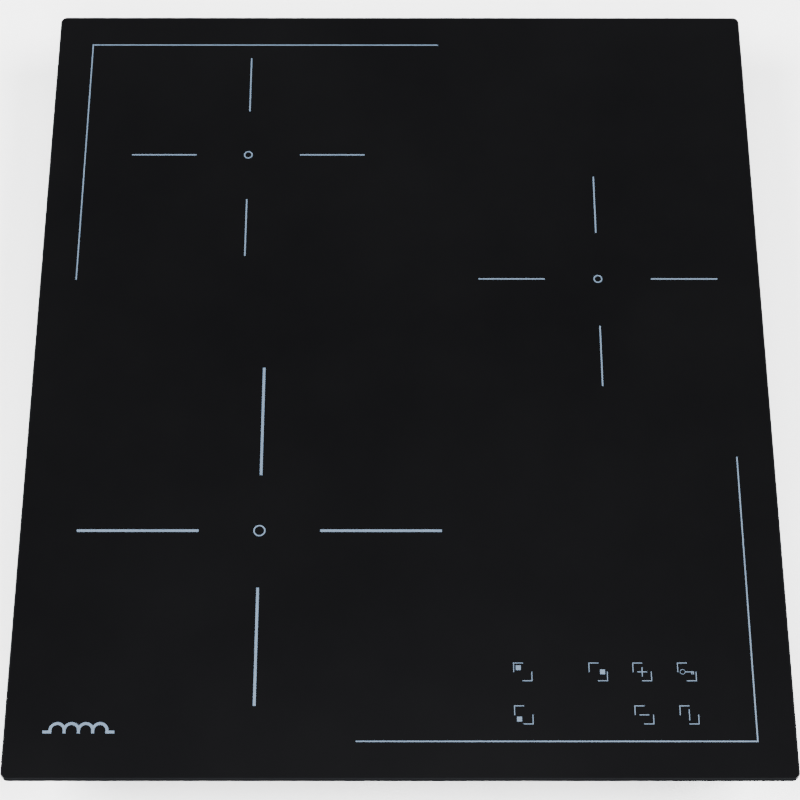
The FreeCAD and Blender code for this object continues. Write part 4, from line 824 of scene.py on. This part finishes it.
def make_terminal_cover():
    """A moulded flap: raised rim, two stiffening bars, finger ribs, a hinge barrel and its pins."""
    low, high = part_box("terminal_cover")
    hinge = Vector(next(joint["pos_m"] for joint in RECORD["behaviour"]["joints"]
                        if joint["name"] == "cover_hinge"))
    centre, inner, outer, top = hinge.x, hinge.y - 1.7 * MM, hinge.y - 0.1 * MM, hinge.z - 3 * MM
    shape = slab((low.x, inner, low.z), (high.x, outer, top), 0.5 * MM)
    sunk, proud, rim, inset = outer - 0.4 * MM, outer + 0.8 * MM, 1.5 * MM, 0.5 * MM
    for start, end in (((low.x + inset, low.z + inset), (high.x - inset, low.z + inset + rim)),
                       ((low.x + inset, top - inset - rim), (high.x - inset, top - inset)),
                       ((low.x + inset, low.z + inset), (low.x + inset + rim, top - inset)),
                       ((high.x - inset - rim, low.z + inset), (high.x - inset, top - inset))):
        slab((start[0], sunk, start[1]), (end[0], proud, end[1]), 0.3 * MM, into=shape)
    bar_offset, bar_half, bar_inset = 19 * MM, 0.7 * MM, 2 * MM
    for offset in (-bar_offset, bar_offset):
        slab((centre + offset - bar_half, sunk, low.z + bar_inset),
             (centre + offset + bar_half, outer + 0.5 * MM, top - bar_inset), 0.25 * MM, into=shape)
    rib_half, rib_tall, rib_pitch, rib_count, first_rib = 9 * MM, 1 * MM, 2.2 * MM, 5, low.z + 4.5 * MM
    for step in range(rib_count):
        level = first_rib + step * rib_pitch
        slab((centre - rib_half, sunk, level), (centre + rib_half, outer + 0.55 * MM, level + rib_tall),
             0.35 * MM, into=shape)
    pin_reach, barrel_reach = 29.5 * MM, 27.4 * MM
    slab((centre - barrel_reach, inner, top - 0.6 * MM), (centre + barrel_reach, outer, hinge.z), 0.3 * MM,
         into=shape)
    for radius, reach in ((1.75 * MM, barrel_reach), (1.0 * MM, pin_reach)):
        ease = 0.25 * MM
        lathe([(0, -reach), (radius - ease, -reach), (radius, -reach + ease), (radius, reach - ease),
               (radius - ease, reach), (0, reach)], hinge, (1, 0, 0), 24, into=shape)
    piece("terminal_cover_moulded", as_mesh(shape), "terminal_plastic", "terminal_cover", ["terminal_cover"])


# ---- coils ----

def spring_tree():
    """Round-wire coil springs, one on each point."""
    grower = Grower("coil springs", "Radius", "Wire", "Turns", "Rise")
    size = grower.size
    helix = grower.node("GeometryNodeCurveSpiral", {
        "Resolution": 28, "Rotations": size["Turns"], "Start Radius": size["Radius"],
        "End Radius": size["Radius"], "Height": size["Rise"]})
    wire = grower.node("GeometryNodeCurvePrimitiveCircle", {"Resolution": 10, "Radius": size["Wire"]})
    spring = grower.node("GeometryNodeCurveToMesh", {
        "Curve": helix.outputs[0], "Profile Curve": wire.outputs[0], "Fill Caps": True})
    return grower.finish(grower.copies(spring.outputs[0]), "touch_wire")


def make_springs():
    """The springs under each coil and those under the touch keys."""
    tree = spring_tree()
    wire = 0.5 * MM
    for node in ("touch_springs", *nodes_named("coil_springs_")):
        feet = [Vector((middle(box).x, middle(box).y, box[0].z + wire)) for box in islands(node)]
        low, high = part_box(node)
        radius = 4.4 * MM if node == "touch_springs" else 4.5 * MM
        mesh = tree.grow(points_mesh(feet), 60, Radius=radius, Wire=wire * 0.98, Turns=4,
                         Rise=high.z - low.z - 2 * wire)
        item = piece(node + "_wound", mesh, SLOT_OF[node], "casing", [node])
        if node != "touch_springs":
            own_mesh(item)


def make_windings():
    """Flat spirals of litz cable: each is a rope of twisted strands, laid from the hub outwards."""
    grower = Grower("litz spiral", "Inner", "Outer", "Turns", "Cable", "Lay")
    size = grower.size
    spiral = grower.node("GeometryNodeCurveSpiral", {
        "Resolution": 64, "Rotations": size["Turns"], "Start Radius": size["Inner"],
        "End Radius": size["Outer"], "Height": 0.0})
    even = grower.node("GeometryNodeResampleCurve", {
        "Curve": spiral.outputs[0], "Length": 2 * MM}, mode="LENGTH")
    along = grower.node("GeometryNodeSplineParameter").outputs["Length"]
    twist = grower.math("MULTIPLY", grower.math("DIVIDE", along, size["Lay"]), math.tau)
    twisted = grower.node("GeometryNodeSetCurveTilt", {"Curve": even.outputs[0], "Tilt": twist})
    strands = grower.node("GeometryNodeCurveStar", {
        "Points": 6, "Inner Radius": grower.math("MULTIPLY", size["Cable"], 0.80),
        "Outer Radius": size["Cable"]})
    cable = grower.node("GeometryNodeCurveToMesh", {
        "Curve": twisted.outputs[0], "Profile Curve": strands.outputs[0], "Fill Caps": True})
    grower.finish(cable.outputs[0], "copper_litz")
    hub, turn_pitch = 28 * MM, 4 * MM
    for node in nodes_named("coil_winding_"):
        low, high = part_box(node)
        cable_radius, outer = (high.z - low.z) / 2, (high.x - low.x) / 2
        turns = round((outer - hub) / turn_pitch) - 0.5
        mesh = grower.grow(points_mesh([]), 100, Inner=hub + cable_radius, Outer=outer - cable_radius,
                           Turns=turns, Cable=cable_radius, Lay=42 * MM)
        mesh.transform(Matrix.Translation(middle((low, high))))
        piece(node + "_laid", mesh, "copper_litz", BODY_OF[node], [node])


# ---- fan ----

def make_impeller():
    """A squirrel-cage rotor: hub cup and back disc turned in one, a tie ring, and curved blades."""
    low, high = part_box("fan_impeller")
    axis = middle((low, high))
    rim = (high.x - low.x) / 2
    hub = in_mm((2.05, 7), (3.8, 7), (4, 7.2), (4, 9.6), (4.6, 10), (17.2, 10), (18, 10.8), (18, 24.2),
                (18.8, 25), (40.7, 25), (41, 25.3), (41, 26.2), (40.7, 26.5), (16, 26.5), (16, 12.6),
                (15.4, 12), (2.05, 12))
    ring = in_mm((38.6, 4), (40.8, 4), (41, 4.2), (41, 5.8), (40.8, 6), (38.6, 6), (38.4, 5.8), (38.4, 4.2))
    shape = bmesh.new()
    for profile in (hub, ring):
        lathe(profile, (axis.x, axis.y, 0), steps=72, into=shape)
    piece("fan_hub", as_mesh(shape), "fan_plastic", "fan_rotor", ["fan_impeller"])
    outer, blade_deep, blade_count, sweep, stations = rim - 0.2 * MM, 10 * MM, 28, 0.16, 8
    middle_line = []
    for step in range(stations):
        share = step / (stations - 1)
        radius, turn = outer - blade_deep * (1 - share), sweep * math.sin(share * math.pi / 2) ** 2
        middle_line.append((radius, turn, (0.62 - 0.22 * share) * MM))
    outline = [(radius * math.cos(turn) + side * half * math.sin(turn), radius * math.sin(turn) - side * half)
               for side in (1, -1) for radius, turn, half in middle_line[::side]]
    blade = prism(outline, 5.9 * MM, 25.1 * MM, lambda across, up, along: (across, up, along))
    tree = copies_tree("fan blades", template("blade", as_mesh(blade)), "fan_plastic")
    places = [(Vector((axis.x, axis.y, 0)), (0, 0, 1), math.tau * step / blade_count)
              for step in range(blade_count)]
    piece("fan_blades", set_out(tree, places), "fan_plastic", "fan_rotor")


# ---- parts on the boards ----

def make_block_parts():
    """Moulded and potted parts with rounded edges, each where its CAD solid stands."""
    for node, rounding in (("film_capacitors", 0.9), ("relays", 1.1), ("level_displays", 0.4)):
        shape = bmesh.new()
        for low, high in islands(node):
            slab(low, high - Vector((0, 0, 0.3 * MM)), rounding * MM, into=shape)
            inset = Vector((1.6 * MM, 1.6 * MM, 0))
            slab(Vector((low.x, low.y, high.z - 0.8 * MM)) + inset, high - inset, 0.15 * MM, into=shape)
        piece(node + "_moulded", as_mesh(shape), SLOT_OF[node], BODY_OF[node], [node])


def make_lytics():
    """Aluminium cans in their sleeves: rolled groove at the base, crimped rim, scored top."""
    shape = bmesh.new()
    for low, high in islands("electrolytic_capacitors"):
        seat = middle((low, high))
        radius, tall = (high.x - low.x) / 2 / MM, (high.z - low.z) / MM
        neck = radius - 0.7
        lathe(in_mm((0, 0), (radius - 0.8, 0), (radius, 0.7), (radius, 2), (neck, 2.7), (neck, 3.2),
                    (radius, 3.9), (radius, tall - 0.8), (radius - 0.3, tall - 0.2), (radius - 0.9, tall),
                    (radius - 1.5, tall - 0.1), (radius - 1.8, tall - 0.6), (0.6, tall - 0.6),
                    (0.3, tall - 0.8), (0, tall - 0.8)), (seat.x, seat.y, low.z), steps=36, into=shape)
    piece("electrolytic_capacitors_sleeved", as_mesh(shape), "lytic_sleeve", "casing",
          ["electrolytic_capacitors"])


def make_transistors():
    """Moulded packages with a chamfered tab, a fixing dimple and three legs each."""
    shape = bmesh.new()
    for low, high in islands("power_transistors"):
        foot = low.z + 3 * MM
        slab((low.x + 0.5 * MM, low.y, foot), high, 0.45 * MM, 2, into=shape)
        slab((low.x, low.y + 1 * MM, foot + 1 * MM), (low.x + 0.8 * MM, high.y - 1 * MM, high.z - 1 * MM),
             0.1 * MM, 1, into=shape)
        centre = middle((low, high))
        lathe(in_mm((1.6, -0.2), (2.3, -0.2), (2.1, 0), (1.8, 0)), (high.x, centre.y, high.z - 5 * MM),
              (1, 0, 0), 20, into=shape)
        for step in (-1, 0, 1):
            y = centre.y + step * 5 * MM
            slab((centre.x - 0.3 * MM, y - 0.6 * MM, low.z),
                 (centre.x + 0.3 * MM, y + 0.6 * MM, foot + 0.5 * MM), 0.05 * MM, 1, into=shape)
    piece("power_transistors_moulded", as_mesh(shape), "device_black", "casing", ["power_transistors"])


def make_transformer():
    """Two ferrite halves with a taped bobbin between them, flanged above and below."""
    low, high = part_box("supply_transformer")
    seat = middle((low, high))
    half = (high.x - low.x) / 2
    shape = bmesh.new()
    for side in (-1, 1):
        slab((seat.x + side * half - (1 + side) * 2 * MM, seat.y - half / 2, low.z),
             (seat.x + side * half + (1 - side) * 2 * MM, seat.y + half / 2, high.z), 0.5 * MM, into=shape)
    yoke = 3.4 * MM
    for level in (low.z, high.z - yoke):
        slab((low.x, seat.y - half / 2, level), (high.x, seat.y + half / 2, level + yoke), 0.5 * MM,
             into=shape)
    piece("transformer_core", as_mesh(shape), "ferrite", "casing", ["supply_transformer"])
    reach = half - 6 * MM
    bobbin = bmesh.new()
    flange = 1.2 * MM
    for level in (low.z + yoke, high.z - yoke - flange):
        slab((seat.x - reach, low.y, level), (seat.x + reach, high.y, level + flange), 0.3 * MM, into=bobbin)
    slab((seat.x - reach, low.y + 1 * MM, low.z + 4 * MM), (seat.x + reach, high.y - 1 * MM, high.z - 4 * MM),
         2.2 * MM, 4, into=bobbin)
    piece("transformer_bobbin", as_mesh(bobbin), "transformer_tape", "casing")


def make_choke():
    """Turns of heavy wire round the toroid, in two halves with a gap between them."""
    low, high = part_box("choke_windings")
    axis = middle((low, high))
    outer, tall, wire = (high.x - low.x) / 2, (high.z - low.z) / 2, 0.75 * MM
    build, inside = 8.2 * MM, wire + 0.05 * MM
    far, near = outer - inside, outer - build + inside
    path = [Vector(((far + near) / 2 + across, 0, axis.z + up)) for across, up in rounded_outline(
        (far - near) / 2, tall - inside, 1.6 * MM, 4)]
    shape, rings, sides = bmesh.new(), [], 8
    for index, point in enumerate(path):
        way = (path[(index + 1) % len(path)] - path[index - 1]).normalized()
        aside = Vector((way.z, 0, -way.x))
        turns = [math.tau * step / sides for step in range(sides)]
        rings.append([shape.verts.new(point + wire * (
            math.cos(turn) * aside + math.sin(turn) * Vector((0, 1, 0)))) for turn in turns])
    join_rings(shape, rings + rings[:1])
    tree = copies_tree("choke turns", template("turn", as_mesh(shape)), "copper_wire")
    turns_each, turn_gap = 19, 7.6
    places = [(Vector((axis.x, axis.y, 0)), (0, 0, 1), math.radians(start + turn_gap * step))
              for start in (19, 199) for step in range(turns_each)]
    piece("choke_turns", set_out(tree, places, 60), "copper_wire", "casing", ["choke_windings"])


def chip_shape(name, long, wide, tall, legs=0):
    """A small block that stands on the board, with flat legs along its two long sides."""
    shape = slab((-long / 2, -wide / 2, 0.05 * MM), (long / 2, wide / 2, tall), 0.12 * MM, 1)
    for side in (-1, 1):
        for leg in range(legs):
            x = (leg - (legs - 1) / 2) * long / legs
            slab((x - 0.2 * MM, side * wide / 2 - 0.1 * MM, 0),
                 (x + 0.2 * MM, side * (wide / 2 + 1 * MM), 0.45 * tall), into=shape)
    return template(name, as_mesh(shape))


def make_small_parts():
    """Chip resistors and leaded packages on each board, clear of its large parts."""
    obstacles = [box for node in (
        "power_transistors", "film_capacitors", "heat_sink", "electrolytic_capacitors", "choke_windings",
        "supply_transformer", "relays", "inner_screws", "touch_springs", "level_displays", "plate_posts")
        for box in islands(node)]
    margin, tries = 6 * MM, 40
    # Kind, shape, how many on a board, and how far each keeps clear.
    kinds = (("chips", chip_shape("chip", 3.2 * MM, 1.6 * MM, 0.6 * MM), 46, 2.6 * MM),
             ("packages", chip_shape("package", 5 * MM, 4 * MM, 1.5 * MM, 4), 9, 5 * MM))
    trees = {kind: copies_tree(kind, shape, "device_black") for kind, shape, *rest in kinds}
    for board in ("power_board", "supply_board", "control_board"):
        low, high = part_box(board)
        taken = []
        for kind, _, count, room in reversed(kinds):
            places = []
            for _ in range(tries * count):
                x, y = (random.uniform(low[side] + margin, high[side] - margin) for side in (0, 1))
                clear = all(x < box[0].x - room or x > box[1].x + room or y < box[0].y - room
                            or y > box[1].y + room for box in obstacles)
                if clear and all(math.dist((x, y), spot) > room + gap for *spot, gap in taken):
                    taken.append((x, y, room))
                    places.append((Vector((x, y, high.z)), (0, 0, 1), random.choice((0, math.pi / 2))))
                if len(places) == count:
                    break
            piece(f"{board}_{kind}", set_out(trees[kind], places), "device_black", "casing")


for make in (make_screws, make_seal, make_rating_label, make_clip_leaves, make_grommet, make_terminal_cover,
             make_springs, make_windings, make_impeller, make_block_parts, make_lytics, make_transistors,
             make_transformer, make_choke, make_small_parts):
    make()
for leftover in TEMPLATES:
    bpy.data.objects.remove(leftover)


# ---- stage, lights, camera ----

def studio_floor_finish():
    """Pale matt board with a trace of mottling."""
    finish = Finish("studio_floor", roughness=0.9)
    cloud = finish.spread(finish.noise(0.4, 3.0))
    return finish.done(base_color=finish.blend(cloud, (0.93, 0.93, 0.93), (0.95, 0.95, 0.95)))


FLOOR_HALF = 6


def make_floor():
    shape = bmesh.new()
    bmesh.ops.create_grid(shape, x_segments=8, y_segments=8, size=FLOOR_HALF)
    floor = bpy.data.objects.new("floor", as_mesh(shape, "floor"))
    floor.data.materials.append(studio_floor_finish())
    floor.location.z = cad_box[0][2]
    bpy.context.scene.collection.objects.link(floor)


FRONT_GREY = (0.34, 0.34, 0.36, 1)
REAR_LEVELS = ((0.0, 0.34), (0.45, 0.26), (0.78, 0.16), (0.88, 0.125), (0.93, 0.155), (0.97, 0.26),
               (1.0, 0.34))


def make_world():
    """A soft studio: a grey room, dim high up behind the hob, where the glass looks."""
    world = bpy.data.worlds.new("studio")
    bpy.context.scene.world = world
    world.use_nodes = True
    tree = world.node_tree
    tree.nodes.clear()
    way = add(tree, "ShaderNodeSeparateXYZ", {"Vector": add(tree, "ShaderNodeTexCoord").outputs["Generated"]})
    shades = add(tree, "ShaderNodeValToRGB", {"Fac": way.outputs["Z"]})
    ramp = shades.color_ramp
    while len(ramp.elements) < len(REAR_LEVELS):
        ramp.elements.new(0.5)
    for element, (height, level) in zip(ramp.elements, REAR_LEVELS):
        element.position = height
        element.color = (level, level, level * 1.1, 1)
    ahead = add(tree, "ShaderNodeMapRange", {"Value": way.outputs["Y"], "From Min": 0.22, "From Max": -0.25})
    mixer = add(tree, "ShaderNodeMix", data_type="RGBA")
    tree.links.new(ahead.outputs[0], mixer.inputs[0])
    tree.links.new(shades.outputs[0], mixer.inputs[6])
    mixer.inputs[7].default_value = FRONT_GREY
    back = add(tree, "ShaderNodeBackground", {"Color": mixer.outputs[2], "Strength": 1.0})
    add(tree, "ShaderNodeOutputWorld", {"Surface": back.outputs[0]})


def area_light(name, place, size, power):
    data = bpy.data.lights.new(name, "AREA")
    data.shape, data.size, data.energy = "SQUARE", size, power
    lamp = bpy.data.objects.new(name, data)
    lamp.location = place
    lamp.rotation_euler = (-Vector(place)).to_track_quat("-Z", "Y").to_euler()
    bpy.context.scene.collection.objects.link(lamp)


CAMERA_SENSOR, CAMERA_LENS = 36, 99.33
CAMERA_PLACE = Vector((-0.00164, -0.61206, 1.20760))
CAMERA_FORWARD = Vector((0.00119, 0.43846, -0.89875))
CAMERA_RIGHT = Vector((1.0, -0.00024, 0.00121))


def make_camera():
    """The camera stands over the front edge and looks down at the glass."""
    data = bpy.data.cameras.new("camera")
    data.sensor_width, data.lens = CAMERA_SENSOR, CAMERA_LENS
    camera = bpy.data.objects.new("camera", data)
    forward = CAMERA_FORWARD.normalized()
    right = (CAMERA_RIGHT - forward * CAMERA_RIGHT.dot(forward)).normalized()
    turn = Matrix((right, right.cross(forward), -forward)).transposed().to_4x4()
    glass_top = Vector((0, 0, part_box("glass_plate")[1].z))
    camera.matrix_world = Matrix.Translation(glass_top + CAMERA_PLACE) @ turn
    bpy.context.scene.collection.objects.link(camera)
    bpy.context.scene.camera = camera


make_floor()
make_world()
area_light("left softbox", (-1.7, -0.3, 2.1), 1.4, 225)
area_light("right softbox", (1.7, -0.2, 2.1), 1.4, 225)
area_light("front softbox", (0.0, -1.9, 2.6), 1.6, 200)
make_camera()
